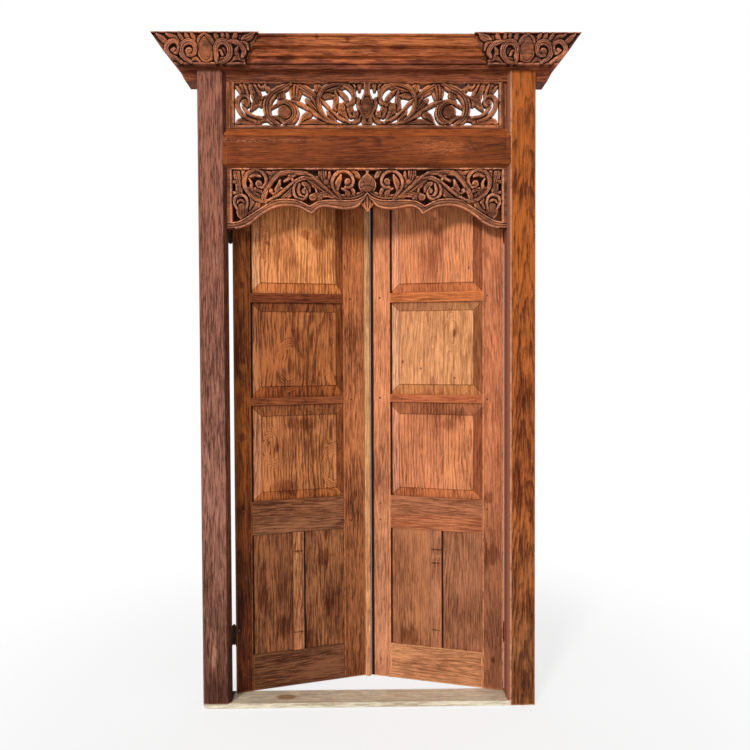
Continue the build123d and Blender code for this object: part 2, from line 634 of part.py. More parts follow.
# Written pieces, the leaves swung to where they stand ajar
os.makedirs("parts", exist_ok=True)
save("sill", sill)
save("left_post", posts["left"])
save("right_post", posts["right"])
save("head_beam", beam)
save("cornice_carving_left", mirror(corner, Plane.YZ))
save("cornice_carving_right", corner)
save("mid_rail", mid_rail)
save("transom_stile_left", stile_left)
save("transom_stile_right", stile_right)
save("transom_carving", transom)
save("arch_carving", arch)
save("frame_pegs", *frame_pegs)
for side in (left, right):
    fittings = hinge_sets[side.name]
    save(side.name + "_frame_plates", *fittings.frame_plates)
    save(side.name + "_hinge_pins", *fittings.pins)
    save(side.name + "_frame_screws", *fittings.frame_screws)
    axis = Axis((side.pin[0], side.pin[1], 0), (0, 0, 1))
    for name, piece in leaves[side.name].items():
        group = piece if isinstance(piece, list) else [piece]
        save(side.name + "_leaf_" + name, *[shape.rotate(axis, side.way * ajar) for shape in group])
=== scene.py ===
import math
import bpy
import numpy as np
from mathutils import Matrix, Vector


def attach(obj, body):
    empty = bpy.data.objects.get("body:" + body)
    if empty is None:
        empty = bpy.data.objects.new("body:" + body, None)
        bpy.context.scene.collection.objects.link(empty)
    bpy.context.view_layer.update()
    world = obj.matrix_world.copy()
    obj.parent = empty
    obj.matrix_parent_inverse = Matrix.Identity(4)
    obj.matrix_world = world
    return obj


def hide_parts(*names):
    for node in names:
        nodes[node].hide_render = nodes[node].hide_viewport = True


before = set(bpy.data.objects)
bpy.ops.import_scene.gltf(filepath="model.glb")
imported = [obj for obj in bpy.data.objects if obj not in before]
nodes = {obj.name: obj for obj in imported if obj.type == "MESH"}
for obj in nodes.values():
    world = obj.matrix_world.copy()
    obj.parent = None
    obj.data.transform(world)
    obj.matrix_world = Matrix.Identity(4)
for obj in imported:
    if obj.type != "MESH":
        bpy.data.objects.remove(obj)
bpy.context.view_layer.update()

# Places the boards stand in: the pins that the leaves turn on and how far they stand ajar
AJAR = math.radians(15.5)
PINS = {"left": (-0.5385, 0.057), "right": (0.54025, 0.057)}
TURNS = {"left": AJAR, "right": -AJAR}
# How far the edges of sawn boards are rounded
ROUNDING = 0.0015
# Noise in the wood: its scale across and along the board, its detail and its roughness
GRAINS = {"sway": (7.0, 1.6, 3.0, 0.55), "bend": (22.0, 4.5, 3.0, 0.55), "fine": (420.0, 11.0, 4.0, 0.65),
          "line": (240.0, 14.0, 4.0, 0.75), "vein": (75.0, 3.0, 5.0, 0.7), "cloud": (7.0, 3.4, 5.0, 0.62),
          "pore": (900.0, 30.0, 2.0, 0.55), "fleck": (330.0, 17.0, 3.0, 0.55), "scuff": (34.0, 6.0, 5.0, 0.7)}
# How much darker or lighter than its board's tone each part of the wood is, and its tint. Rubbed edges and
# ridges are pale with wear and with painted highlight
SHADES = {"dark": (0.34, (1.06, 0.80, 0.66)), "light": (1.75, (1.0, 1.04, 1.04)),
          "pore": (0.3, (1.0, 0.8, 0.7)), "fleck": (1.9, (1.0, 1.12, 1.05)),
          "rub_and_highlight": (1.8, (1.0, 1.12, 1.1)), "scuff": (2.4, (0.9, 1.25, 1.55)),
          "carved dark": (0.45, (1.06, 0.84, 0.72)), "carved light": (1.5, (1.0, 1.04, 1.02)),
          "ridge": (3.0, (1.0, 1.2, 1.4))}
# Tints of dirt and dark lines, and of painted shade and painted shadow where parts shade each other
SEAM, MITRE, RIM_SHADE = (0.5, 0.4, 0.34), (0.45, 0.35, 0.3), (0.42, 0.32, 0.26)
EDGE_SHADOW, STILE_SHADOW, LIP_SHADOW = (0.07, 0.035, 0.02), (0.05, 0.025, 0.015), (0.05, 0.022, 0.010)
SOIL, JOINT, TOP_SHADE = (0.30, 0.22, 0.17), (0.12, 0.07, 0.05), (0.10, 0.06, 0.045)
RECESS, GOLDEN = (0.07, 0.04, 0.025), (1.38, 1.25, 1.0)
# Tints of stains, knots and small holes
PATCH, KNOT, DOT = (0.50, 0.38, 0.30), (0.38, 0.27, 0.21), (0.25, 0.16, 0.12)
# The second board of a glued panel: how far its heart lies across and its grain is moved, and its tint
SECOND_HEART, SECOND_GRAIN, SECOND_TINT = 0.11, 0.8, (1.08, 1.12, 1.08)
# Depths between which a panel's front starts, from the pin: its bevels and their shadows are painted there
FRONT = (-0.0165, -0.0185)
# Painted light and shade on the four bevels of a raised panel beside its field, as the light falls on each
# side
BEVEL_SHADING = {"left": (1.05, 1.25, 1.6), "right": (0.46, 0.36, 0.30), "top": (0.60, 0.54, 0.50),
               "foot": (0.80, 0.68, 0.56)}


def arithmetic(operation, turned=False):
    """A method that adds a Math node of a socket and another value, turned round for its reflected form."""
    def method(self, other):
        first, second = (other, self) if turned else (self, other)
        return self.node("Math", {"operation": operation}, {0: first, 1: second})
    return method


class Sock:
    """A shader socket that can be written as arithmetic."""

    def __init__(self, tree, out):
        self.tree = tree
        self.out = out

    def node(self, kind, settings=(), inputs=(), output=0):
        """Add a node, set its options, then its inputs, and return one of its outputs."""
        made = self.tree.nodes.new("ShaderNode" + kind)
        for key, value in dict(settings).items():
            setattr(made, key, value)
        for key, value in dict(inputs).items():
            if isinstance(value, Sock):
                self.tree.links.new(value.out, made.inputs[key])
            else:
                made.inputs[key].default_value = value
        return Sock(self.tree, made.outputs[output])

    __add__ = __radd__ = arithmetic("ADD")
    __mul__ = __rmul__ = arithmetic("MULTIPLY")
    __sub__, __rsub__ = arithmetic("SUBTRACT"), arithmetic("SUBTRACT", True)
    __truediv__, __pow__ = arithmetic("DIVIDE"), arithmetic("POWER")
    least, most = arithmetic("MINIMUM"), arithmetic("MAXIMUM")

    def ramp(self, low, high):
        """Rises smoothly from 0 at low to 1 at high, or falls where high is below low."""
        return self.node("MapRange", {"interpolation_type": "SMOOTHSTEP"}, {0: self, 1: low, 2: high})

    def band(self, reach, full):
        """1 where this is within full of 0, falling smoothly to 0 at the reach on either side."""
        return self.ramp(-reach, -full) * self.ramp(reach, full)

    def axes(self):
        """This place's x, y and z."""
        split = self.node("SeparateXYZ", (), {0: self}).out.node
        return [Sock(self.tree, split.outputs[index]) for index in range(3)]

    def spread(self, scale, shift=(0, 0, 0)):
        """This place times a scale plus a shift, each by direction."""
        return self.node("VectorMath", {"operation": "MULTIPLY_ADD"}, {0: self, 1: scale, 2: shift})

    def noise(self, detail=2.0, rough=0.5):
        return self.node("TexNoise", (), {"Vector": self, "Scale": 1.0, "Detail": detail, "Roughness": rough})

    def paint(self, low, high):
        """Colour low where this is 0 and high where it is 1."""
        return self.node("Mix", {"data_type": "RGBA"}, {0: self, 6: rgba(low), 7: rgba(high)}, 2)

    def stain(self, mask, tint):
        """This colour, multiplied by a tint where the mask is 1."""
        settings = {"data_type": "RGBA", "blend_type": "MULTIPLY"}
        return self.node("Mix", settings, {0: mask, 6: self, 7: rgba(tint)}, 2)


def looking(start):
    """1 for rays that come straight from the camera, or by way of a reflection or through glass."""
    path = start.node("LightPath").out.node
    straight, shining, through = (Sock(start.tree, path.outputs[f"Is {kind} Ray"])
                                  for kind in ("Camera", "Glossy", "Transmission"))
    return straight.most(shining).most(through)


def rgba(colour):
    return colour if isinstance(colour, Sock) else (*colour, 1.0)


def shade(colour, amount, hue=(1.0, 1.0, 1.0)):
    """A colour made darker or lighter, and tinted, with its hue kept where it would grow too bright."""
    made = [c * amount * h for c, h in zip(colour, hue)]
    return tuple(c * min(1.0, 0.92 / max(made)) for c in made)


def add_object(name, data):
    """Put a mesh, a lamp or a camera in the scene."""
    made = bpy.data.objects.new(name, data)
    bpy.context.scene.collection.objects.link(made)
    return made


def new_material(name, place=None):
    """A material, its shader and the place of each point, turned back with the leaf it is on."""
    material = bpy.data.materials.new(name)
    material.use_nodes = True
    tree = material.node_tree
    shader = tree.nodes["Principled BSDF"]
    start = Sock(tree, None)
    at = start.node("TexCoord", (), (), "Object")
    if place in PINS:
        at = at.node("Mapping", {"vector_type": "TEXTURE"},
                     {"Vector": at, "Location": (*PINS[place], 0.0), "Rotation": (0.0, 0.0, TURNS[place])})
    return material, shader, at


def finish_material(shader, colour, rough, height, relief, level=0.12):
    """Join the colour, roughness and bump to the shader."""
    tree = shader.id_data
    tree.links.new(colour.out, shader.inputs["Base Color"])
    tree.links.new(rough.out, shader.inputs["Roughness"])
    bump = height.node("Bump", (), {"Height": height, "Distance": relief, "Strength": 0.8})
    tree.links.new(bump.out, shader.inputs["Normal"])
    shader.inputs["Specular IOR Level"].default_value = level


def edge_distance(at, low, high):
    """Distance to the nearest edge of a board: the middle one of the distances to its faces."""
    a, b, c = ((value - low[index]).least(high[index] - value) for index, value in enumerate(at.axes()))
    return a.least(b).most(a.most(b).least(c))


def oval(x, z, place, size, bend=0.0):
    """1 inside an oval of a half width and half height round a place, falling to 0 at its edge."""
    across, up = (x - place[0]) / size[0], (z - place[1]) / size[1]
    return ((across * across + up * up) ** 0.5 + bend).ramp(1.0, 0.45)


def wood(name, box, tones, along=2, place=None, seed=0, figure=0.5, spacing=0.006, streak=1.0, patches=0.8,
         wear=0.5, dirt=0.5, scuff=0.0, pith=(0.02, 0.07), lean=0.04, field=None, spots=(), knots=(),
         joint_at=None, groove=None, extra=None):
    """Sawn hardwood. Its rings are the distance from a leaning heart line, bent by noise, and its fibres,
    streaks and stains are noise stretched along the board. Its tones are one colour, or colours by height.
    A field is a raised panel's: each of its bevels is painted lighter or darker as the light falls on its
    side, with painted shade round the field and painted shadow of the stile beside it. A groove is the place
    across where a painted shadow runs along the board's left edge. Its rubbed edges are pale with wear and
    with painted highlight. Spots are ovals, each with the tint that it gives the wood, and knots are ovals
    that the rings run round. A panel glued up of two boards has their joint at a place across."""
    material, shader, at = new_material(name, place)
    low, high = box
    x, y, z = at.axes()
    if not isinstance(tones, list):
        tones = [(0.0, tones)]
    length, across = (x, z) if along == 0 else (z, x)
    middle = (low[2 - along] + high[2 - along]) / 2
    shift = (seed * 3.17, seed * 1.73, seed * 2.29)
    board_at, second = at, None
    if joint_at is not None:
        second = x.ramp(joint_at - 0.0004, joint_at + 0.0004)
        step = at.node("CombineXYZ", (), {1: second * SECOND_GRAIN})
        board_at = at.node("VectorMath", {"operation": "ADD"}, {0: at, 1: step})
        across = across - second * SECOND_HEART

    def grain(kind):
        wide, long, detail, rough = GRAINS[kind]
        scale = [wide, wide, wide]
        scale[along] = long
        return board_at.spread(scale, shift).noise(detail, rough)

    heart = across - (middle + pith[0]) + (grain("sway") - 0.5) * 0.05
    deep = y - low[1] + pith[1] + length * lean
    ring = (heart * heart + deep * deep) ** 0.5 / spacing + grain("bend") * 3.2
    for knot_place, size in knots:
        ring = ring + oval(x, z, knot_place, size) * 5.0
    band = ring.node("Math", {"operation": "FRACT"}, {0: ring})
    late = band.ramp(0.30, 0.86) * (1.0 - band.ramp(0.90, 1.0))
    fine, line, vein, cloud = (grain(kind) for kind in ("fine", "line", "vein", "cloud"))
    value = 0.5 + (late - 0.35) * (-figure * 0.6) + (line - 0.5) * (3.0 * streak)
    value = value + (vein - 0.5) * (0.7 * streak) + (cloud - 0.5) * (2.0 * patches)
    value = (value + (fine - 0.5) * 0.5).ramp(0.0, 1.0)
    bend = (cloud - 0.5) * 0.25
    colour = None
    for start, end, tone in [(0, 0, tones[0][1])] + [(a[0], b[0], b[1]) for a, b in zip(tones, tones[1:])]:
        painted = value.paint(shade(tone, *SHADES["dark"]), shade(tone, *SHADES["light"]))
        colour = (z + bend).ramp(start, end).paint(colour, painted) if colour else painted
    if second:
        colour = colour.stain(second, SECOND_TINT)
        colour = colour.stain((x - joint_at).band(0.0016, 0.0002) * 0.6, SEAM)
    mid = tones[len(tones) // 2][1]
    pore = grain("pore").ramp(0.62, 0.72) * 0.5
    colour = pore.paint(colour, shade(mid, *SHADES["pore"]))
    fleck = grain("fleck").ramp(0.58, 0.68) * cloud.ramp(0.38, 0.62) * (0.65 * streak)
    colour = fleck.paint(colour, shade(mid, *SHADES["fleck"]))
    blot = at.spread((38.0, 38.0, 38.0), shift).noise(3.0, 0.6)
    ragged = (blot - 0.5) * 0.9 + (vein - 0.5) * 2.6
    for spot_place, size, tint in spots:
        colour = colour.stain(oval(x, z, spot_place, size, ragged) * 0.85, tint)
    # Painted shadow along the board's left edge, where the stile or the muntin beside it shades it
    if groove is not None:
        colour = colour.stain((x - groove).ramp(0.0085, 0.0055), EDGE_SHADOW)
    if field:
        left, right, foot, top, opening = field
        front = y.ramp(*FRONT)
        gaps = {"left": left - x, "right": x - right, "foot": foot - z, "top": z - top}
        outside = gaps["left"].most(gaps["right"]).most(gaps["foot"].most(gaps["top"]))
        # Painted light and shade on each bevel, as the light falls on its side
        for key, tint in BEVEL_SHADING.items():
            others = [gap for other, gap in gaps.items() if other != key]
            ahead = gaps[key] - others[0].most(others[1]).most(others[2])
            bevel = gaps[key].ramp(-0.0002, 0.0004) * ahead.ramp(-0.0006, 0.0006)
            colour = colour.stain(bevel * front, tint)
            mitre = ahead.band(0.0022, 0.0006) * gaps[key].ramp(0.0, 0.002)
            colour = colour.stain(mitre * front * 0.6, MITRE)
        # Painted shade in a thin line round the field, and painted shadow of the stile on the panel beside it
        rim = outside.ramp(-0.0028, -0.0006) * outside.ramp(0.0026, 0.0008)
        colour = colour.stain(rim * (0.35 + blot * 0.8) * front, RIM_SHADE)
        colour = colour.stain((x - opening).ramp(0.0100, 0.0066) * front, STILE_SHADOW)
    near = edge_distance(at, low, high)
    soil = near.ramp(0.022, 0.0) * blot.ramp(0.3, 0.75) * dirt
    colour = colour.stain(soil, SOIL)
    joint = near.ramp(0.0026, 0.0008) * dirt
    colour = colour.stain(joint, JOINT)
    # Pale edges: wear, and painted highlight on the rounded arrises
    rub_and_highlight = near.ramp(0.0065, 0.002) * (1.0 - joint) * blot.ramp(0.25, 0.7) * wear
    colour = rub_and_highlight.paint(colour, shade(mid, *SHADES["rub_and_highlight"]))
    if scuff:
        mark = (grain("scuff").ramp(0.57, 0.66) * cloud.ramp(0.42, 0.6)) * scuff
        colour = mark.paint(colour, shade(mid, *SHADES["scuff"]))
    if extra:
        colour = extra(colour, x, y, z, blot)
    rough = 0.62 + (line - 0.5) * 0.3 + soil * 0.15
    height = fine * 0.5 + line * 0.8 + late * 0.25 + cloud * 0.6 - pore * 0.5
    finish_material(shader, colour, rough, height, 0.0013)
    return material


def local_box(name, place=None):
    """Lowest and highest corners of a node, turned back with its leaf and measured from its pin."""
    mesh = nodes[name].data
    points = np.empty(len(mesh.vertices) * 3)
    mesh.vertices.foreach_get("co", points)
    points = points.reshape(-1, 3)
    if place in PINS:
        c, s = math.cos(TURNS[place]), math.sin(TURNS[place])
        offset = points - (*PINS[place], 0.0)
        points = np.column_stack([offset[:, 0] * c + offset[:, 1] * s, offset[:, 1] * c - offset[:, 0] * s,
                                  offset[:, 2]])
    return points.min(0).tolist(), points.max(0).tolist()


def dress(name, material, bevel=ROUNDING):
    """Give a CAD node its material and slightly rounded edges."""
    node = nodes[name]
    node.data.materials.clear()
    node.data.materials.append(material)
    if bevel:
        weld = node.modifiers.new("weld", "WELD")
        weld.merge_threshold = 0.00002
        rounding = node.modifiers.new("rounded edges", "BEVEL")
        rounding.width = bevel
        rounding.segments = 2
        rounding.limit_method = "ANGLE"
        rounding.angle_limit = math.radians(40)
        rounding.use_clamp_overlap = True
        rounding.harden_normals = False
    node.data.polygons.foreach_set("use_smooth", [False] * len(node.data.polygons))


# Where the left post's chamfer starts, and the slope on top of the mid rail's face: painted shade falls on
# the first and painted light on the second
ARRIS, RAIL_SLOPE = -0.545, 2.186


def rail_scuffs_and_light(colour, x, y, z, blot):
    """Pale scrapes along the top of the mid rail's face and a paler worn patch on its right half, with
    painted light on the slope on top of its face.
    """
    ragged = x.node("CombineXYZ", (), {0: x * 55.0, 2: z * 260.0}).noise(4.0, 0.7)
    level = (z - 2.168) * 100.0 + (blot - 0.5) * 1.6
    strip = level.band(1.0, 0.2) * ragged.ramp(0.50, 0.64) * x.ramp(-0.1, -0.3) * 0.8
    patch = oval(x, z, (0.275, 2.145), (0.17, 0.045), (blot - 0.5) * 1.2) * ragged.ramp(0.54, 0.64)
    # Painted light on the slope on top of the rail's face, which faces up to the light
    colour = colour.stain(z.ramp(RAIL_SLOPE - 0.0005, RAIL_SLOPE + 0.0005), (1.45, 1.50, 1.40))
    return strip.most(patch * 0.7).paint(colour, (0.52, 0.24, 0.12))


def sill_stains(colour, x, y, z, blot):
    """A brown oval stain and pale mottling on the top of the sill."""
    stain = oval(x, y, (-0.325, -0.004), (0.058, 0.030), (blot - 0.5) * 0.5)
    colour = colour.stain(stain, (0.55, 0.40, 0.30))
    top = z.ramp(0.017, 0.019) * blot.ramp(0.35, 0.75)
    return colour.stain(top, (1.20, 1.08, 1.0))


def dark_arris(colour, x, y, z, blot):
    """Dark chamfer on the inner edge of the left post, which faces away from the light."""
    return colour.stain(x.ramp(ARRIS - 0.0006, ARRIS + 0.0006), (0.42, 0.30, 0.24))


def pale_arris(colour, x, y, z, blot):
    """Reddish chamfer on the inner edge of the right post, with a pale line along its corner."""
    inner = x.ramp(-ARRIS + 0.0006, -ARRIS - 0.0006)
    colour = inner.paint(colour, (0.27, 0.09, 0.05))
    return ((x + ARRIS).band(0.0045, 0.001) * blot.ramp(0.2, 0.6)).paint(colour, (0.58, 0.29, 0.16))


# Frame timbers: their tones by height, then their stains as places across and up, half sizes and tints
POST_LEFT = [(0.15, (0.104, 0.039, 0.023)), (0.9, (0.228, 0.093, 0.063)), (1.9, (0.222, 0.078, 0.048))]
POST_RIGHT = [(0.15, (0.186, 0.063, 0.021)), (0.9, (0.283, 0.075, 0.017)), (1.9, (0.271, 0.067, 0.011))]
RAIL, SILL = (0.201, 0.045, 0.010), (0.930, 0.837, 0.644)
# The stop strip's dark tone is painted shade, for it is seen only through the arch's openings
TRANSOM_STILE, STOP_SHADE = (0.30, 0.095, 0.037), (0.07, 0.024, 0.011)
CORNICE = [(2.42, (0.187, 0.048, 0.018)), (2.447, (0.177, 0.045, 0.021)), (2.475, (0.362, 0.094, 0.031)),
           (2.505, (0.204, 0.048, 0.013)), (2.53, (0.319, 0.088, 0.027))]
LEFT_SPOTS = [((-0.6, 0.215), (0.018, 0.13), (2.2, 2.4, 2.6)),
              ((-0.585, 0.05), (0.05, 0.16), (0.6, 0.55, 0.5))]
RIGHT_SPOTS = [((0.6, 1.22), (0.05, 0.1), PATCH), ((0.57, 0.86), (0.03, 0.12), PATCH),
               ((0.61, 0.4), (0.03, 0.1), PATCH), ((0.58, 0.1), (0.07, 0.09), PATCH)]
RAIL_SPOTS = [((0.3, 2.145), (0.11, 0.022), (1.35, 1.45, 1.5)),
              ((0.45, 2.12), (0.12, 0.07), (0.65, 0.65, 0.65)),
              ((-0.5, 2.13), (0.05, 0.09), (0.7, 0.6, 0.55))]
CORNICE_SPOTS = [((-0.185, 2.536), (0.012, 0.014), KNOT), ((-0.07, 2.528), (0.014, 0.012), KNOT),
                 ((0.12, 2.5), (0.05, 0.012), PATCH), ((-0.3, 2.47), (0.06, 0.012), PATCH)]
# The mid rail between the posts, without its tenons
RAIL_BOX = ([-0.533, -0.05, 2.07], [0.533, 0.05, 2.216])


def timber(node, name, tones, box=None, bevel=ROUNDING, **look):
    """Dress one of the frame's nodes in a wood of its own, with the node's edges unless a box is given."""
    dress(node, wood(name, box or local_box(node), tones, **look), bevel)


timber("left_post", "dull post", POST_LEFT, seed=1, figure=0.25, patches=0.45, streak=1.1, wear=0.6,
       scuff=0.4, spots=LEFT_SPOTS, extra=dark_arris)
timber("right_post", "golden post", POST_RIGHT, seed=2, figure=0.6, patches=0.9, streak=0.9, dirt=0.45,
       wear=0.7, scuff=0.35, spacing=0.0065, spots=RIGHT_SPOTS, extra=pale_arris)
timber("mid_rail", "mid rail", RAIL, RAIL_BOX, along=0, seed=3, figure=0.3, patches=0.6, streak=0.5, dirt=0.4,
       wear=0.9, spots=RAIL_SPOTS, extra=rail_scuffs_and_light)
timber("head_beam", "cornice", CORNICE, along=0, seed=4, figure=0.3, patches=0.6, dirt=0.2, wear=0.4,
       scuff=0.15, spots=CORNICE_SPOTS)
timber("sill", "pale sill", SILL, along=0, seed=5, figure=0.25, patches=0.3, dirt=0.15, streak=0.5, wear=0.2,
       extra=sill_stains)
for side in ("left", "right"):
    timber(f"transom_stile_{side}", f"transom stile {side}", TRANSOM_STILE, seed=6)
timber("frame_pegs", "frame pegs", RAIL, bevel=0.0, along=0, seed=7, dirt=0.0, wear=0.0)

# Leaf boards: the tone of each, or its tones by height
LEAF_TONES = {
    "left": {
        "hinge_stile": [(0.3, (0.064, 0.013, 0.004)), (1.2, (0.191, 0.049, 0.008)),
                        (1.9, (0.138, 0.033, 0.006))],
        "meeting_stile": [(0.3, (0.195, 0.063, 0.021)), (1.2, (0.379, 0.122, 0.045)),
                          (1.9, (0.366, 0.11, 0.034))],
        "top_rail": (0.4, 0.135, 0.05), "upper_cross_rail": (0.147, 0.033, 0.01),
        "lower_cross_rail": (0.193, 0.051, 0.016), "lock_board_upper": (0.202, 0.07, 0.029),
        "lock_board_lower": (0.173, 0.063, 0.028), "bottom_rail": (0.13, 0.046, 0.02),
        "muntin": (0.308, 0.115, 0.046), "top_panel": (0.901, 0.33, 0.114),
        "middle_panel": (0.274, 0.081, 0.024), "lower_panel": (0.327, 0.108, 0.037),
        "lower_board_hinge": (0.18, 0.061, 0.023), "lower_board_meeting": (0.218, 0.077, 0.029),
        "pegs": (0.11, 0.036, 0.015),
        "astragal": [(0.4, (0.757, 0.349, 0.17)), (1.2, (0.93, 0.5, 0.225))],
    },
    "right": {
        "hinge_stile": [(0.3, (0.221, 0.078, 0.036)), (1.2, (0.483, 0.156, 0.066))],
        "meeting_stile": [(0.3, (0.412, 0.165, 0.08)), (1.2, (0.665, 0.24, 0.106))],
        "top_rail": (0.56, 0.19, 0.083), "upper_cross_rail": (0.527, 0.149, 0.044),
        "lower_cross_rail": (0.374, 0.099, 0.036), "lock_board_upper": (0.378, 0.132, 0.06),
        "lock_board_lower": (0.381, 0.12, 0.049), "bottom_rail": (0.457, 0.19, 0.085),
        "muntin": (0.336, 0.128, 0.061), "top_panel": (0.779, 0.268, 0.114),
        "middle_panel": (0.93, 0.4, 0.17), "lower_panel": (0.486, 0.163, 0.07),
        "lower_board_hinge": (0.293, 0.109, 0.051), "lower_board_meeting": (0.304, 0.111, 0.047),
        "pegs": (0.15, 0.05, 0.022),
    },
}
# Where the opening of each leaf's frame starts and ends across
REACH = {"left": (0.0715, 0.4445), "right": (-0.45825, -0.08225)}
# The raised fields: how far each reaches across, and how far up
FIELDS = {"left": ((0.1115, 0.4155), {"top_panel": (1.643, 1.954), "middle_panel": (1.232, 1.529),
                                      "lower_panel": (0.813, 1.114)}),
          "right": ((-0.42025, -0.11725), {"top_panel": (1.643, 1.954), "middle_panel": (1.235, 1.533),
                                           "lower_panel": (0.813, 1.114)})}
# How strongly the grain of each leaf shows, and where the panels' two boards meet
CONTRAST = {"left": 1.0, "right": 0.55}
PANEL_JOINTS = {"left": 0.2485, "right": -0.238}
# Where the painted shadow on the right leaf's lip starts, and where the painted shade on the tops of the
# leaves does
LIP_START, SHADE_FOOT = -0.5277, 1.945
# Painted shadows along the left edges of the lower boards, beside the stile and the muntin
EDGE_SHADOWS = {"left_lower_board_hinge": 0.0715, "left_lower_board_meeting": 0.2775,
           "right_lower_board_meeting": -0.45825, "right_lower_board_hinge": -0.24725}
# Stains, knots and holes of the leaves, as places across and up, half sizes and tints
LEAF_SPOTS = {
    "left_hinge_stile": [((0.039, 1.635), (0.012, 0.022), KNOT), ((0.039, 1.335), (0.014, 0.024), KNOT),
        ((0.035, 1.48), (0.016, 0.035), PATCH), ((0.037, 1.035), (0.013, 0.022), KNOT),
        ((0.036, 0.75), (0.014, 0.03), KNOT), ((0.03, 1.18), (0.02, 0.05), PATCH),
        ((0.01, 0.27), (0.016, 0.022), DOT)],
    "left_top_panel": [((0.345, 1.817), (0.05, 0.05), PATCH), ((0.141, 1.8), (0.009, 0.014), KNOT),
        ((0.29, 1.84), (0.03, 0.022), PATCH)],
    "left_middle_panel": [((0.228, 1.319), (0.018, 0.034), KNOT), ((0.25, 1.42), (0.024, 0.06), PATCH),
        ((0.235, 1.39), (0.004, 0.005), DOT)],
    "left_lower_panel": [((0.27, 1.08), (0.085, 0.034), PATCH), ((0.207, 0.83), (0.06, 0.036), PATCH),
        ((0.17, 0.99), (0.018, 0.03), KNOT)],
    "left_muntin": [((0.2555, 0.566), (0.034, 0.0045), DOT), ((0.2555, 0.237), (0.034, 0.0045), DOT),
        ((0.2555, 0.545), (0.03, 0.012), (1.3, 1.4, 1.5))],
    "right_muntin": [((-0.269, 0.566), (0.034, 0.0045), DOT), ((-0.269, 0.237), (0.034, 0.0045), DOT),
        ((-0.269, 0.511), (0.034, 0.0045), DOT), ((-0.269, 0.54), (0.028, 0.012), (1.3, 1.4, 1.5))],
    "left_lower_board_hinge": [((0.11, 0.42), (0.03, 0.12), PATCH), ((0.2, 0.26), (0.05, 0.06), PATCH)],
    "left_lower_board_meeting": [((0.36, 0.53), (0.05, 0.04), PATCH), ((0.4, 0.33), (0.04, 0.11), PATCH),
        ((0.3, 0.2), (0.04, 0.06), KNOT)],
    "right_hinge_stile": [((-0.045, 0.56), (0.034, 0.05), PATCH), ((-0.06, 0.79), (0.02, 0.03), PATCH),
        ((-0.04, 0.14), (0.012, 0.02), KNOT)],
    "right_lower_board_meeting": [((-0.38, 0.2), (0.05, 0.06), PATCH)],
    "right_top_panel": [((-0.26, 1.69), (0.005, 0.006), DOT), ((-0.137, 1.7), (0.006, 0.007), DOT),
        ((-0.3, 1.73), (0.06, 0.08), (0.78, 0.68, 0.62))],
    "right_middle_panel": [((-0.195, 1.444), (0.009, 0.022), KNOT), ((-0.404, 1.328), (0.008, 0.009), KNOT),
        ((-0.331, 1.3), (0.005, 0.005), DOT), ((-0.193, 1.262), (0.005, 0.006), DOT)],
    "right_lower_panel": [((-0.182, 1.12), (0.04, 0.03), (0.6, 0.52, 0.5)),
        ((-0.23, 1.075), (0.05, 0.03), (0.7, 0.6, 0.55))],
}
LEAF_KNOTS = {
    "left_middle_panel": [((0.228, 1.319), (0.06, 0.12))],
    "left_lower_panel": [((0.17, 0.99), (0.06, 0.09)), ((0.4, 0.9), (0.05, 0.11))],
    "left_top_panel": [((0.141, 1.8), (0.04, 0.08))],
    "right_middle_panel": [((-0.195, 1.444), (0.04, 0.09))],
}


def head_shade(colour, x, y, z, blot):
    """Painted shade on the tops of the leaves, behind the arch, darkening what shows through its openings."""
    return colour.stain(z.ramp(SHADE_FOOT, SHADE_FOOT + 0.03) * 0.92, TOP_SHADE)


def lip_shadow(colour, x, y, z, blot):
    """The same, and painted shadow on the lip of the right leaf, past the edge of its meeting stile."""
    colour = head_shade(colour, x, y, z, blot)
    return colour.stain(x.ramp(LIP_START + 0.0005, LIP_START - 0.0005), LIP_SHADOW)


for side, boards in LEAF_TONES.items():
    for index, (board, tones) in enumerate(boards.items()):
        name = f"{side}_leaf_{board}"
        low, high = local_box(name, side)
        lying = "rail" in board or "lock" in board
        if lying:
            low[0], high[0] = REACH[side]
        across, heights = FIELDS[side]
        field = (*across, *heights[board], REACH[side][0]) if board in heights else None
        lipped = side == "right" and board == "meeting_stile"
        tall = high[2] > SHADE_FOOT
        strength = CONTRAST["right" if board == "astragal" else side]
        key = f"{side}_{board}"
        seed = 10 + index + 20 * (side == "right")
        material = wood(name, (low, high), tones, 0 if lying else 2, side, seed,
                        figure=(0.7 if field else 0.5) * strength, spacing=0.012 if field else 0.006,
                        streak=strength, patches=strength,
                        dirt=0.0 if board == "pegs" else 0.6 * CONTRAST[side],
                        wear=0.9 if "stile" in board or "rail" in board else 0.5, field=field,
                        spots=LEAF_SPOTS.get(key, ()), knots=LEAF_KNOTS.get(key, ()),
                        joint_at=PANEL_JOINTS[side] if field else None, groove=EDGE_SHADOWS.get(key),
                        pith=(0.03 * (index % 3 - 1), 0.05), lean=0.03 * (-1) ** index,
                        extra=lip_shadow if lipped else head_shade if tall else None)
        sharp = lipped or board == "astragal"
        dress(name, material, 0.0 if board == "pegs" else 0.0003 if sharp else ROUNDING)


def iron(name, place=None, seed=0):
    """Rusted wrought iron: brown scale over dark metal, rougher where it has flaked."""
    material, shader, at = new_material(name, place)
    coarse = at.spread((60, 60, 60), (seed, 0, 0)).noise(4.0, 0.6)
    fine = at.spread((420, 420, 420), (seed, 0, 0)).noise(4.0, 0.7)
    rust = (coarse * 0.6 + fine * 0.4).ramp(0.4, 0.62)
    colour = rust.paint((0.035, 0.028, 0.026), (0.16, 0.06, 0.03))
    finish_material(shader, colour, 0.55 + rust * 0.3, coarse + fine * 0.6, 0.0008, 0.5)
    shader.inputs["Metallic"].default_value = 0.4
    return material


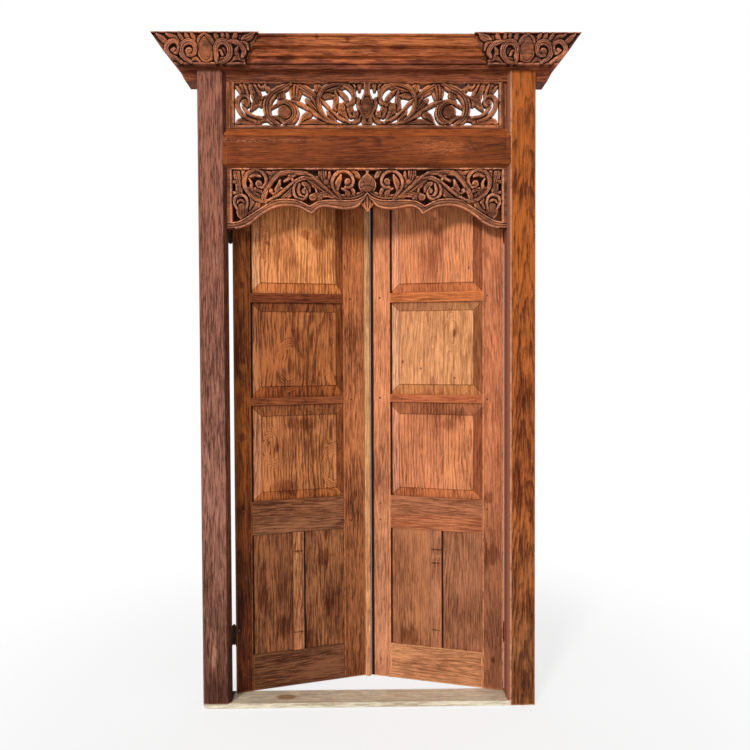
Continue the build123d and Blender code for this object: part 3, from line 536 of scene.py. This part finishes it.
# Fittings: the pins are held in the frame's plates
for side in ("left", "right"):
    frame_iron, leaf_iron = iron(f"frame iron {side}", None, 1), iron(f"leaf iron {side}", side, 2)
    for part in ("frame_plates", "hinge_pins", "frame_screws"):
        dress(f"{side}_{part}", frame_iron, 0.0)
    for part in ("hinge_plates", "hinge_screws"):
        dress(f"{side}_leaf_{part}", leaf_iron, 0.0)
dress("left_leaf_hinge_bolt", iron("bolt iron", "left", 3), 0.0)

# Carvings, in millimetres across from the middle and up from the foot of each board. A stroke is its widths
# at start, middle and end, and then the points of its line, each across and up.
TRANSOM_LEAVES = [
    (21, 23, 10, 412, 32, 453, 32, 484, 33, 497, 13), (15, 17, 6, 468, 120, 477, 143, 498, 163),
    (15, 18, 14, 466, 120, 471, 150, 480, 184), (12, 13, 7, 456, 118, 457, 143, 468, 173),
    (19, 23, 14, 413, 116, 432, 143, 443, 184), (15, 17, 6, 407, 115, 415, 146, 430, 173),
    (27, 21, 8, 417, 111, 428, 94, 442, 76), (11, 34, 10, 434, 126, 417, 113, 404, 92),
    (23, 14, 15, 419, 113, 396, 119, 369, 128),
    (11, 13, 8, 364, 124, 371, 148, 386, 160, 403, 158, 411, 169), (11, 11, 9, 379, 150, 386, 165, 384, 184),
    (21, 19, 19, 442, 36, 410, 39, 381, 43, 359, 32, 340, 19), (23, 32, 12, 337, 154, 329, 135, 327, 105),
    (10, 9, 10, 368, 83, 347, 93, 324, 102), (25, 19, 19, 363, 41, 336, 43, 306, 28),
    (50, 46, 19, 265, 184, 271, 147, 273, 105), (38, 29, 21, 278, 177, 244, 156, 211, 135, 179, 111),
    (23, 31, 11, 181, 55, 209, 88, 230, 114), (19, 25, 9, 181, 68, 195, 98, 211, 124),
    (15, 27, 11, 211, 68, 235, 47, 253, 26), (11, 25, 11, 257, 19, 204, 28, 139, 17),
    (11, 27, 11, 188, 182, 187, 158, 173, 124), (15, 33, 15, 169, 143, 131, 156, 82, 171),
    (11, 19, 6, 177, 119, 150, 130, 122, 126), (11, 18, 19, 120, 154, 118, 120, 121, 79),
    (13, 16, 15, 112, 150, 93, 134, 79, 118, 74, 98), (11, 25, 12, 148, 70, 138, 56, 122, 30),
    (23, 25, 11, 101, 79, 90, 56, 75, 30), (21, 25, 15, 82, 98, 66, 81, 61, 53),
    (11, 16, 15, 61, 70, 42, 56, 38, 38, 56, 21), (13, 14, 12, 117, 17, 71, 22, 35, 35, 20, 56),
    (13, 18, 11, 52, 114, 35, 114, 29, 90, 18, 56), (13, 10, 6, 57, 175, 46, 162, 46, 147),
    (19, 15, 8, 28, 182, 29, 166, 29, 149), (11, 12, 11, 0, 147, 14, 117, 21, 87, 15, 56, 8, 34),
    (15, 19, 23, 18, 60, 12, 38, 1, 15),
]
TRANSOM_STEMS = [
    (11, 14, 8, 423, 30, 457, 43, 483, 69, 494, 96, 489, 116, 473, 126, 456, 122, 447, 107),
    (9, 12, 11, 470, 86, 453, 64, 432, 48, 400, 43),
    (19, 27, 19, 344, 19, 368, 39, 379, 68, 378, 100, 364, 126, 343, 144, 318, 156, 290, 173),
    (11, 24, 15, 336, 103, 309, 104, 286, 93, 274, 75, 273, 53, 287, 32, 312, 23),
    (11, 13, 13, 336, 102, 302, 105, 271, 102, 241, 90, 211, 71, 181, 49, 151, 31, 113, 20),
    (15, 17, 14, 117, 20, 158, 43, 179, 77, 183, 113, 172, 144, 148, 163, 116, 171, 83, 168, 60, 152, 49,
     128, 55, 105, 73, 92),
    (10, 10, 10, 180, 115, 160, 98, 139, 74, 114, 52, 90, 38, 65, 24), (27, 19, 19, -2, 184, 0, 154, 0, 132),
]
ARCH_LEAVES = [
    (23, 28, 23, 502, 273, 495, 239, 488, 209, 490, 163), (13, 12, 11, 523, 218, 508, 219, 495, 220),
    (13, 12, 11, 523, 179, 505, 177, 489, 175), (14, 14, 11, 473, 273, 472, 247, 472, 216),
    (11, 23, 8, 447, 239, 428, 252, 407, 239), (7, 13, 19, 450, 231, 441, 213, 442, 194, 429, 171),
    (15, 31, 15, 451, 192, 429, 175, 406, 146), (15, 25, 11, 436, 186, 415, 186, 402, 178),
    (11, 27, 27, 398, 262, 360, 246, 314, 258, 242, 258), (19, 25, 11, 341, 261, 360, 243, 375, 220),
    (11, 13, 8, 259, 210, 264, 186, 253, 165, 239, 163), (15, 23, 8, 246, 214, 231, 206, 220, 182),
    (31, 21, 8, 347, 157, 344, 186, 332, 225), (14, 13, 15, 370, 185, 357, 175, 342, 167),
    (11, 19, 15, 319, 184, 332, 191, 345, 182), (19, 14, 8, 277, 250, 299, 231, 317, 220),
    (14, 11, 10, 296, 243, 287, 229, 279, 218), (19, 29, 15, 277, 205, 300, 176, 330, 152),
    (15, 33, 15, 231, 229, 197, 209, 163, 184, 129, 161), (31, 27, 23, 156, 176, 178, 172, 207, 161),
    (8, 13, 23, 196, 190, 192, 178, 186, 163), (27, 23, 23, 182, 171, 184, 156, 186, 140),
    (29, 31, 15, 170, 273, 171, 242, 161, 212, 136, 182), (10, 15, 15, 192, 236, 182, 222, 163, 208),
    (10, 15, 15, 144, 254, 145, 235, 155, 212), (21, 27, 19, 154, 218, 136, 195, 110, 162),
    (15, 21, 8, 119, 186, 114, 210, 100, 244), (7, 21, 27, 98, 193, 79, 186, 73, 165, 64, 140),
    (11, 15, 15, 83, 199, 58, 189, 49, 164), (11, 23, 10, 68, 267, 49, 254, 30, 235),
    (27, 46, 27, 118, 159, 80, 149, 42, 153, 1, 176), (34, 15, 15, -2, 276, -2, 257, -2, 239),
    (8, 15, 11, 497, 135, 487, 148, 472, 143, 461, 133), (15, 18, 13, 446, 169, 439, 142, 448, 116),
    (15, 23, 23, 412, 144, 426, 118, 450, 97),
]
ARCH_STEMS = [
    
    (13, 15, 11, 357, 147, 399, 145, 429, 156, 454, 179, 468, 207, 465, 234, 449, 254, 426, 264, 402, 256,
     387, 237, 385, 215, 398, 198, 414, 200),
    (18, 16, 15, 399, 148, 389, 177, 374, 206, 351, 235, 324, 254, 292, 261),
    (19, 14, 14, 307, 259, 246, 252, 218, 240, 189, 220, 159, 193, 129, 167, 99, 146),
    (13, 12, 12, 384, 141, 349, 161, 319, 184, 288, 209, 262, 227, 235, 235, 205, 230),
    (11, 11, 8, 205, 230, 239, 230, 267, 218, 281, 192, 276, 165, 256, 152, 237, 158, 229, 176, 237, 192),
    (13, 12, 11, 102, 154, 127, 186, 135, 214, 126, 240, 103, 258, 78, 257, 59, 240, 54, 216, 66, 198, 83,
     196),
    (10, 11, 10, 492, 112, 506, 136, 502, 158, 482, 168, 463, 160, 457, 139, 460, 116),
]
CORNER_LEAVES = [
    (11, 17, 7, 691, 1, 705, 8, 719, 16), (11, 22, 11, 685, 70, 705, 88, 733, 101),
    (11, 22, 11, 729, 67, 749, 83, 769, 101), (11, 19, 11, 652, 7, 637, 18, 619, 7),
    (11, 19, 11, 670, 73, 683, 90, 690, 107), (11, 19, 11, 648, 74, 659, 90, 665, 107),
    (11, 19, 15, 631, 60, 636, 87, 643, 107), (11, 19, 11, 623, 64, 616, 84, 597, 102),
    (15, 24, 15, 558, 60, 576, 82, 595, 105), (11, 13, 11, 559, 37, 543, 45, 534, 30),
    (11, 19, 11, 528, 20, 539, 14, 551, 1), (11, 19, 15, 547, 72, 552, 90, 556, 107),
    (11, 17, 15, 529, 77, 528, 94, 530, 107), (11, 17, 15, 510, 64, 512, 87, 512, 107),
    (11, 19, 7, 472, 18, 484, 40, 474, 59), (11, 19, 19, 507, 3, 482, 21, 460, 10),
    (11, 19, 11, 462, 74, 447, 69, 439, 50), (15, 30, 15, 457, 84, 437, 92, 416, 105),
    (11, 19, 15, 494, 78, 484, 94, 481, 107),
]
CORNER_STEMS = [
    (13, 15, 9, 687, 3, 708, 18, 729, 31, 739, 50, 729, 69, 710, 77, 694, 68, 693, 50, 706, 36, 719, 45),
    (13, 19, 11, 652, 4, 675, 20, 685, 41, 678, 63, 657, 75, 637, 68, 632, 49, 643, 30, 661, 28),
    (13, 19, 15, 555, 3, 557, 28, 557, 54, 544, 72, 522, 74, 507, 57, 506, 33, 521, 12, 544, 1),
    (11, 16, 11, 509, 74, 487, 74, 464, 62, 453, 42, 461, 23),
]

# Buds: centre, half width, half height and the way each is cut
TRANSOM_BUDS = [(460, 101, 15, 15, "spiral"), (312, 66, 26, 26, "hatched"), (97, 84, 16, 16, "spiral"),
                (44, 58, 13, 13, "spiral"), (0, 87, 24, 48, "cone")]
ARCH_BUDS = [(413, 210, 13, 14, "spiral"), (241, 183, 10, 10, "spiral"), (75, 217, 12, 15, "spiral"),
             (367, 184, 9, 9, "plain"), (207, 160, 16, 13, "ribbed"), (158, 216, 12, 12, "plain"),
             (476, 107, 23, 31, "ribbed"), (0, 210, 34, 40, "onion")]
CORNER_BUDS = [(596, 48, 29, 46, "cone"), (656, 40, 16, 16, "spiral"), (711, 45, 10, 10, "spiral")]


def smooth_line(points, pieces=10):
    """Smooth curve through points: between each two a cubic, sloping at its ends like their neighbours."""
    p = np.array(points, float)
    p = np.vstack([2 * p[0] - p[1], p, 2 * p[-1] - p[-2]])
    t = (np.arange(pieces) / pieces)[:, None]
    a, b, c, d = (p[k:len(p) - 3 + k, None] for k in range(4))
    curve = b + (c - a) / 2 * t + (a - 2.5 * b + 2 * c - d / 2) * t ** 2
    curve = curve + (1.5 * (b - c) + (d - a) / 2) * t ** 3
    return np.vstack([curve.reshape(-1, 2), p[-2]])


def cut(value, place, width):
    """A soft groove one deep, centred where the value is at the place."""
    return np.exp(-((value - place) / width) ** 2)


def stroke(x, z, first, middle, last, *points):
    """Places near a stroke, their distance from its line and along it, and its half width there, which is
    the parabola through its widths at start, middle and end."""
    line = smooth_line(np.reshape(points, (-1, 2)))
    step = np.diff(line, axis=0)
    size = np.hypot(*step.T)
    run = np.concatenate([[0], np.cumsum(size)])
    reach = max(first, middle, last) / 2 + 3
    near = (x > line[:, 0].min() - reach) & (x < line[:, 0].max() + reach)
    near &= (z > line[:, 1].min() - reach) & (z < line[:, 1].max() + reach)
    px, pz = x[near][:, None] - line[:-1, 0], z[near][:, None] - line[:-1, 1]
    share = ((px * step[:, 0] + pz * step[:, 1]) / size ** 2).clip(0, 1)
    gap = np.hypot(px - share * step[:, 0], pz - share * step[:, 1])
    pick = gap.argmin(1)
    row = np.arange(len(pick))
    along = run[pick] + share[row, pick] * size[pick]
    t = along / run[-1]
    half = (first * (1 - t) * (1 - 2 * t) + 4 * middle * t * (1 - t) + last * t * (2 * t - 1)) / 2
    return near, gap[row, pick], along, t, half


def relief(x, z, leaves, stems, buds, low, high):
    """How far each place lies inside the carved work, and its height. Leaves are rounded, with a vein and
    slanting ribs. Stems lie over them, flat with two grooves and small notches. Buds are domes."""
    inside = np.full(x.shape, -20.0)
    height = np.zeros(x.shape)

    def lay(near, depth, level):
        inside[near] = np.maximum(inside[near], depth)
        height[near] = np.where(depth > -2.5, np.maximum(height[near], level), height[near])

    for leaf in leaves:
        near, gap, along, t, half = stroke(x, z, *leaf)
        rel = (gap / half).clip(0, 1.2)
        level = low + 1.5 - 7.5 * rel ** 2.5 - 2.4 * cut(rel, 0, 0.15) * (half > 4)
        level += 0.7 * np.cos(2 * np.pi * (along / 8.5 - rel * 0.8)) * (rel * (1.15 - rel)).clip(0, 1) * 2
        level -= 1.8 * cut(rel, 0.52, 0.13) * (half > 6)
        lay(near, half - gap, level)
    for stem in stems:
        near, gap, along, t, half = stroke(x, z, *stem)
        rel = (gap / half).clip(0, 1.2)
        level = high - 0.2 - 5 * rel ** 3 - 2.8 * cut(rel, 0.42, 0.16)
        level -= 0.9 * cut(along % 9, 4.5, 1.0) * (rel < 0.35) * (t > 0.1)
        lay(near, half - gap, level)
    for cx, cz, rx, rz, kind in buds:
        dx, dz = x - cx, z - cz
        up = (dz / rz).clip(0, 1)
        narrow = 1 - (0.55 * up ** 1.6 if kind in ("cone", "onion") else 0)
        rho = np.hypot(dx / (rx * narrow), dz / rz)
        near = rho < 1.25
        dx, dz, rho = dx[near], dz[near], rho[near]
        level = low - 3 + (high + 2.8 - low) * np.sqrt((1 - rho ** 2).clip(0, 1))
        if kind in ("hatched", "cone"):
            hatch = np.maximum(cut((dx + dz) % 5.6, 2.8, 0.8), cut((dx - dz) % 5.6, 2.8, 0.8))
            level -= 1.6 * hatch * (rho < 0.7) + 1.8 * cut(rho, 0.78, 0.06)
        if kind == "ribbed":
            reach = np.sqrt((1.02 - (dz / rz) ** 2).clip(0.05, 1))
            level -= 1.8 * cut((dx / reach / rx * 3.5) % 1, 0.5, 0.16)
        if kind == "spiral":
            level -= 2.0 * cut((rho * 1.9 - np.arctan2(dz, dx) / (2 * np.pi)) % 1, 0.5, 0.13) * (rho > 0.12)
        if kind == "onion":
            level -= 2.0 * cut(dz + dx ** 2 / 70, -6, 1.4) + 1.8 * cut(rho, 0.84, 0.05)
            level -= 1.4 * cut(np.abs(dx) - (dz + 40) * 0.3, 0, 1.2) * (dz > -6)
        lay(near, (1 - rho) * min(rx, rz), level)
    return inside, height


def blurred(field, reach):
    """Mean over a square of places, by running sums along each direction."""
    for axis in (0, 1):
        pad = [(reach + 1, reach) if a == axis else (0, 0) for a in (0, 1)]
        total = np.cumsum(np.pad(field, pad, mode="edge"), axis=axis)
        size = field.shape[axis]
        high, low = np.arange(size) + 2 * reach + 1, np.arange(size)
        field = (total.take(high, axis) - total.take(low, axis)) / (2 * reach + 1)
    return field


def eased(distance, reach):
    """Falls as a parabola from 1 at an edge to 0 at a reach inside it."""
    return (1 - (distance / reach).clip(0, 1)) ** 2


# How far a ridge stands over the work round it to be painted pale with wear and highlight, and how a board's
# back counts beside that, darkening the walls of openings with dirt and painted shade
RIDGE_RISE, BACK_RELIEF = 2.4, -0.05
# Places this far outside a board's border already have its height, so that its edge stays sharp
BORDER_EDGE = -0.9


def carved_piece(name, u, v, inside, height, lay, flip=False):
    """Closed carved board: its front at each place's height, a flat back and walls round every opening.
    Places beside an opening slide onto its edge, down the slope of their distance inside."""
    corners = (inside[:-1, :-1] + inside[1:, :-1] + inside[:-1, 1:] + inside[1:, 1:]) / 4
    keep = corners > 0
    for _ in range(4):
        a, b, c, d = keep[:-1, :-1], keep[:-1, 1:], keep[1:, :-1], keep[1:, 1:]
        keep[:-1, 1:] |= a & d & ~b & ~c
        keep[:-1, :-1] |= b & c & ~a & ~d
    kept = np.pad(keep, 1)
    around = np.stack([kept[:-1, :-1], kept[1:, :-1], kept[:-1, 1:], kept[1:, 1:]])
    rim = around.any(0) & ~around.all(0)
    slope_v, slope_u = np.gradient(inside, v, u)
    steep = slope_u ** 2 + slope_v ** 2 + 0.2
    step = u[1] - u[0]
    shift = np.where(rim, -inside / steep, 0)
    uu, vv = np.meshgrid(u, v)
    uu = (uu + (shift * slope_u).clip(-0.6 * step, 0.6 * step)).clip(u[0], u[-1])
    vv = (vv + (shift * slope_v).clip(-0.6 * step, 0.6 * step)).clip(v[0], v[-1])
    filled = np.where(inside > -2.5, height, height.min())
    # How far each place stands over the work round it: the wood paints its ridges pale and its recesses dark
    # by it
    ridge = ((height - blurred(filled, 3)) / RIDGE_RISE).clip(-1, 1)
    number = np.arange(uu.size).reshape(uu.shape)
    a, b, c, d = number[:-1, :-1], number[:-1, 1:], number[1:, 1:], number[1:, :-1]
    back = number.size
    faces = [np.stack([k[keep] for k in (a, b, c, d)], 1)]
    faces.append(back + faces[0][:, ::-1])
    sides = ((a, b, kept[:-2, 1:-1]), (b, c, kept[1:-1, 2:]), (c, d, kept[2:, 1:-1]), (d, a, kept[1:-1, :-2]))
    for start, end, beside in sides:
        edge = keep & ~beside
        p, q = start[edge], end[edge]
        faces.append(np.stack([q, p, p + back, q + back], 1))
    faces = np.concatenate(faces)
    if flip:
        faces = faces[:, ::-1]
    points = np.concatenate([lay(uu, vv, height).reshape(-1, 3), lay(uu, vv, None).reshape(-1, 3)])
    used, faces = np.unique(faces, return_inverse=True)
    mesh = bpy.data.meshes.new(name)
    mesh.from_pydata((points[used] * 0.001).tolist(), [], faces.reshape(-1, 4).tolist())
    value = mesh.attributes.new("relief", "FLOAT", "POINT")
    shown = np.concatenate([ridge.ravel(), np.full(back, BACK_RELIEF)])
    value.data.foreach_set("value", shown[used].astype(np.float32))
    mesh.polygons.foreach_set("use_smooth", [True] * len(mesh.polygons))
    mesh.set_sharp_from_angle(angle=math.radians(48))
    return add_object(name, mesh)


def doubled_board(name, u, v, inside, height, back, foot):
    """Upright carved board, worked out on its right half and mirrored on its left, with its back at a depth
    and its foot at a height."""
    inside, height = (np.concatenate([half[:, :0:-1], half], 1) for half in (inside, height))
    return carved_piece(name, np.concatenate([-u[:0:-1], u]), v, inside, height,
                        lambda a, b, h: np.stack([a, back - (0 * a if h is None else h), foot + b], -1))


def carved_wood(name, tone, seed):
    """Carved hardwood: dirt and painted shade in its recesses, pale ridges with wear and painted highlight,
    streaks and fine pores.
    """
    material, shader, at = new_material(name)
    shift = (seed * 3.1, seed * 1.7, seed * 2.3)
    relief_at = at.node("Attribute", {"attribute_name": "relief"}, (), "Fac")
    line = at.spread((14.0, 60.0, 110.0), shift).noise(4.0, 0.6)
    fine = at.spread((60.0, 400.0, 520.0), shift).noise(4.0, 0.65)
    cloud = at.spread((8.0, 8.0, 12.0), shift).noise(3.0, 0.6)
    blot = at.spread((70.0, 70.0, 70.0), shift).noise(3.0, 0.6)
    value = (0.5 + (line - 0.5) * 1.5 + (cloud - 0.5) * 1.8 + (fine - 0.5) * 0.5).ramp(0.0, 1.0)
    colour = value.paint(shade(tone, *SHADES["carved dark"]), shade(tone, *SHADES["carved light"]))
    # Pale ridges: wear, and painted highlight on the high places
    rub_and_highlight = relief_at.ramp(0.30, 1.0) * blot.ramp(0.25, 0.6)
    colour = (rub_and_highlight * 0.9).paint(colour, shade(tone, *SHADES["ridge"]))
    colour = colour.stain(cloud.ramp(0.48, 0.66), GOLDEN)
    # Dirt and painted shade in the recesses and on the walls of the openings
    soil = (relief_at + (blot - 0.5) * 0.3).ramp(0.22, -0.35)
    colour = colour.stain(soil, RECESS)
    rough = 0.6 + soil * 0.25 + (line - 0.5) * 0.2
    finish_material(shader, colour, rough, fine * 0.6 + line * 0.6, 0.0008)
    return material


def places(across, up):
    """Lines of places across and up a board, each from a start to an end by a count, and the grid of them."""
    u, v = np.linspace(*across), np.linspace(*up)
    return (u, v, *np.meshgrid(u, v))


def set_carving(piece, node, wood_name, tone, seed):
    """Give a carved board its wood and let it stand for its CAD node."""
    piece.data.materials.append(carved_wood(wood_name, tone, seed))
    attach(piece, "frame")
    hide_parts(node)


# How much wider than its drawn strokes the work of each board is, on each side
SPREAD = {"transom": 2.3, "arch": -0.7}

# Transom, a framed board above the mid rail: its half width and height, its opening and the levels of its
# leaves and its face above its back
HALF, TALL, OPENING, OPENING_FOOT, OPENING_TOP, LEAF, FACE = 518, 178, 504, 14, 174, 26, 32
u, v, x, z = places((0, HALF, 269), (0, TALL, 93))
inside, height = relief(x, z, TRANSOM_LEAVES, TRANSOM_STEMS, TRANSOM_BUDS, LEAF, FACE)
inside += SPREAD["transom"]
border = np.maximum(np.maximum(OPENING_FOOT - z, z - OPENING_TOP), x - OPENING)
bead = FACE - 1.4 * cut(border, 4.5, 1.1) - 3 * eased(border, 2.5)
height = np.where(border > BORDER_EDGE, np.maximum(height, bead), height)
inside = np.maximum(inside, border)
transom = doubled_board("transom_openwork", u, v, inside, height, back=-4, foot=2216)
set_carving(transom, "transom_carving", "transom wood", (0.197, 0.067, 0.030), 1)

# Arch with a scalloped foot and a hanging bud. Its foot and the rim of its band are smooth lines, from its
# outer end to a cusp and on to its middle.
HALF, FOOT, TOP, OPENING, OPENING_TOP, LEAF, FACE = 533, 39, 270, 515, 264, 24, 30
FOOT_LINES = [[(533, 39), (485, 44), (446, 60), (406, 92), (360, 118), (314, 128), (261, 121), (211, 95)],
              [(211, 95), (190, 117), (163, 125), (118, 118), (78, 115), (39, 124), (12, 151), (0, 167)]]
RIM_LINES = [[(515, 64), (487, 70), (453, 88), (418, 111), (388, 130), (362, 145), (334, 152), (300, 153),
              (262, 147), (219, 126)],
             [(219, 126), (200, 138), (177, 146), (131, 149), (97, 147), (50, 149), (20, 160), (0, 178)]]
HANGING_LEAF = (12, 16, 8, 0, 126, 10, 130, 22, 138)
HANGING_STEM = (16, 30, 12, 0, 172, 0, 140, 0, 110)
u, v, x, z = places((0, HALF, 297), (FOOT, TOP, 129))
inside, height = relief(x, z, ARCH_LEAVES, ARCH_STEMS, ARCH_BUDS, LEAF, FACE)
inside += SPREAD["arch"]
foot, rim = (np.vstack([smooth_line(outer), smooth_line(inner)[1:]])[::-1]
             for outer, inner in (FOOT_LINES, RIM_LINES))
foot_at, rim_at = np.interp(x, *foot.T), np.interp(x, *rim.T)
over_foot = (z - foot_at) / np.hypot(1, np.gradient(foot_at, u, axis=1))
under_rim = (rim_at - z) / np.hypot(1, np.gradient(rim_at, u, axis=1))
border = np.maximum(np.maximum(under_rim, x - OPENING), z - OPENING_TOP)
band = FACE - 3 * eased(border, 2.5) - 2.0 * cut(under_rim, 6, 1.5)
band -= 3.5 * eased(over_foot, 5) + 1.2 * cut(over_foot, 8, 1.3)
height = np.where(border > BORDER_EDGE, np.maximum(height, band), height)
inside = np.minimum(np.maximum(inside, border), over_foot)
hang, hang_height = relief(x, z, [HANGING_LEAF], [HANGING_STEM], [], LEAF - 2, FACE - 3)
height = np.where(hang > -1, np.maximum(height * (over_foot > -1), hang_height), height)
inside = np.maximum(inside, hang)
arch = doubled_board("arch_openwork", u, v, inside, height, back=-6, foot=1800)
set_carving(arch, "arch_carving", "arch wood", (0.255, 0.090, 0.044), 2)

# Carved ends of the cornice, on faces that lean forward by a run over a rise, with plain strips along their
# foot and top. The first strip starts a little below the slope, and no carving comes past the front limit.
RUN, RISE, STRIP_DROP, STRIP_WIDE, STRIP_TOP = 34, 104, 3.2, 9, 4
INNER, OUTER, LEAF, FACE, THICK, FRONT_LIMIT = 398, 794, 7, 13, 36, 27.4
# Depth and height of the slope's foot, and its length and direction
SLOPE_FRONT, SLOPE_FOOT = -87, 2442.7
SLOPE = math.hypot(RUN, RISE)
LEAN = np.array([-RUN, RISE]) / SLOPE
# The slanting ends of the carving: where each starts across, its run over its rise, how far below the slope
# it starts, and the share of a distance across that is square to it
INNER_END, INNER_RUN, INNER_SHARE = 456, 58 / 112.6, 0.88
OUTER_END, OUTER_RUN, OUTER_DROP, OUTER_SHARE = 708, 86 / 115.7, 6.3, 0.8
u, v, x, z = places((INNER, OUTER, 221), (-STRIP_DROP, SLOPE, 63))
inside, height = relief(x, z, CORNER_LEAVES, CORNER_STEMS, CORNER_BUDS, LEAF, FACE)
strip = (z + STRIP_DROP < STRIP_WIDE) | (z > v[-1] - STRIP_TOP)
height = np.where(strip, np.maximum(height, LEAF + 1 - 1.5 * cut(z, 4.2, 1)), np.maximum(height, 0))
height = np.minimum(height, FACE + LEAN[1] * (FRONT_LIMIT + LEAN[0] * z))
slant_in = (x - INNER_END + INNER_RUN * (z + STRIP_DROP)) * INNER_SHARE
slant_out = np.minimum(OUTER_END + OUTER_RUN * (z + OUTER_DROP).clip(0) - x, OUTER - x) * OUTER_SHARE
inside = np.minimum(slant_in, slant_out) + 0.01
for side, way in (("left", -1), ("right", 1)):
    name = f"cornice_ornament_{side}"
    piece = carved_piece(
        name, u, v, inside, height,
        lambda a, b, h: np.stack(
            [way * a, SLOPE_FRONT + LEAN[0] * b + (THICK + 0 * a if h is None else FACE - h) / LEAN[1],
             SLOPE_FOOT + LEAN[1] * b], -1), flip=way < 0)
    set_carving(piece, f"cornice_carving_{side}", f"cornice ornament {side}", (0.270, 0.094, 0.051), 3 + way)

# Stop strip under the mid rail, behind the arch, that the shut leaves meet. Its back is notched for the left
# leaf's cover strip.
STOP_END, STOP_FRONT, STOP_BACK, STOP_FOOT, STOP_TOP = 0.533, -0.005, 0.0225, 2.028, 2.0701
NOTCH = (-0.010, 0.026, 0.008)
outline = [(-STOP_END, STOP_FRONT), (STOP_END, STOP_FRONT), (STOP_END, STOP_BACK), (NOTCH[1], STOP_BACK),
           (NOTCH[1], NOTCH[2]), (NOTCH[0], NOTCH[2]), (NOTCH[0], STOP_BACK), (-STOP_END, STOP_BACK)]
count = len(outline)
stop = bpy.data.meshes.new("head_stop")
stop.from_pydata([(*place, z) for z in (STOP_FOOT, STOP_TOP) for place in outline], [],
                 [tuple(range(count))[::-1], tuple(range(count, 2 * count))]
                 + [(k, (k + 1) % count, (k + 1) % count + count, k + count) for k in range(count)])
stop_piece = add_object("head_stop", stop)
stop_box = ([-STOP_END, STOP_FRONT, STOP_FOOT], [STOP_END, STOP_BACK, STOP_TOP])
# Its tone is painted shade behind the arch
stop.materials.append(wood("stop strip", stop_box, STOP_SHADE, along=0, seed=9))
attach(stop_piece, "frame")

# Floor, light and camera
floor_mesh = bpy.data.meshes.new("floor")
floor_mesh.from_pydata([(-3, -2, 0), (3, -2, 0), (3, 3, 0), (-3, 3, 0)], [], [(0, 1, 2, 3)])
floor = add_object("floor", floor_mesh)
floor_material, floor_shader, floor_at = new_material("pale floor")
floor_tone = floor_at.spread((3, 3, 3)).noise(3.0).paint((0.93, 0.93, 0.93), (0.96, 0.96, 0.96))
floor_material.node_tree.links.new(floor_tone.out, floor_shader.inputs["Base Color"])
floor_shader.inputs["Roughness"].default_value = 0.9
# Past 0.9 m from the door the floor fades into the white behind it, and is gone at 2.2 m
away = floor_at.node("VectorMath", {"operation": "LENGTH"}, {0: floor_at}, 1)
floor_material.node_tree.links.new(away.ramp(2.2, 0.9).out, floor_shader.inputs["Alpha"])
bright = floor_at.node("Emission", (), {"Color": (1, 1, 1, 1), "Strength": 1.0})
plain = Sock(floor_at.tree, floor_shader.outputs[0])
floor_look = floor_at.node("MixShader", (), {0: looking(floor_at) * 0.72, 1: plain, 2: bright})
floor_at.tree.links.new(floor_look.out, floor_at.tree.nodes["Material Output"].inputs["Surface"])
floor_mesh.materials.append(floor_material)

world = bpy.data.worlds.new("studio")
bpy.context.scene.world = world
world.use_nodes = True
for node in list(world.node_tree.nodes):
    world.node_tree.nodes.remove(node)
sky = Sock(world.node_tree, None)
white = sky.node("Background", (), {"Color": (1, 1, 1, 1), "Strength": 1.0})
soft = sky.node("Background", (), {"Color": (1, 1, 1, 1), "Strength": 0.5})
mixed = sky.node("MixShader", (), {0: looking(sky), 1: soft, 2: white})
world_out = world.node_tree.nodes.new("ShaderNodeOutputWorld")
world.node_tree.links.new(mixed.out, world_out.inputs["Surface"])

# Lamps: the way each shines, its strength and how wide it is in degrees
LAMPS = [("key", (0.52, 1.0, -0.52), 1.93, 10), ("fill", (-0.8, 1.0, -0.3), 0.35, 40)]
for name, direction, strength, angle in LAMPS:
    light = bpy.data.lights.new(name, "SUN")
    light.energy = strength
    light.angle = math.radians(angle)
    lamp = add_object(name, light)
    lamp.rotation_mode = "QUATERNION"
    lamp.rotation_quaternion = Vector(direction).to_track_quat("-Z", "Y")

camera_data = bpy.data.cameras.new("camera")
camera = add_object("camera", camera_data)
camera.location = (-0.00896, -2.700, 1.39477)
camera.rotation_euler = [math.radians(angle) for angle in (88.5739, 0.2430, -0.8063)]
camera_data.sensor_width = 36.0
camera_data.lens = 33.427
camera_data.shift_x = -0.0007
camera_data.shift_y = -0.0166
bpy.context.scene.camera = camera
bpy.context.scene.view_settings.view_transform = "Standard"
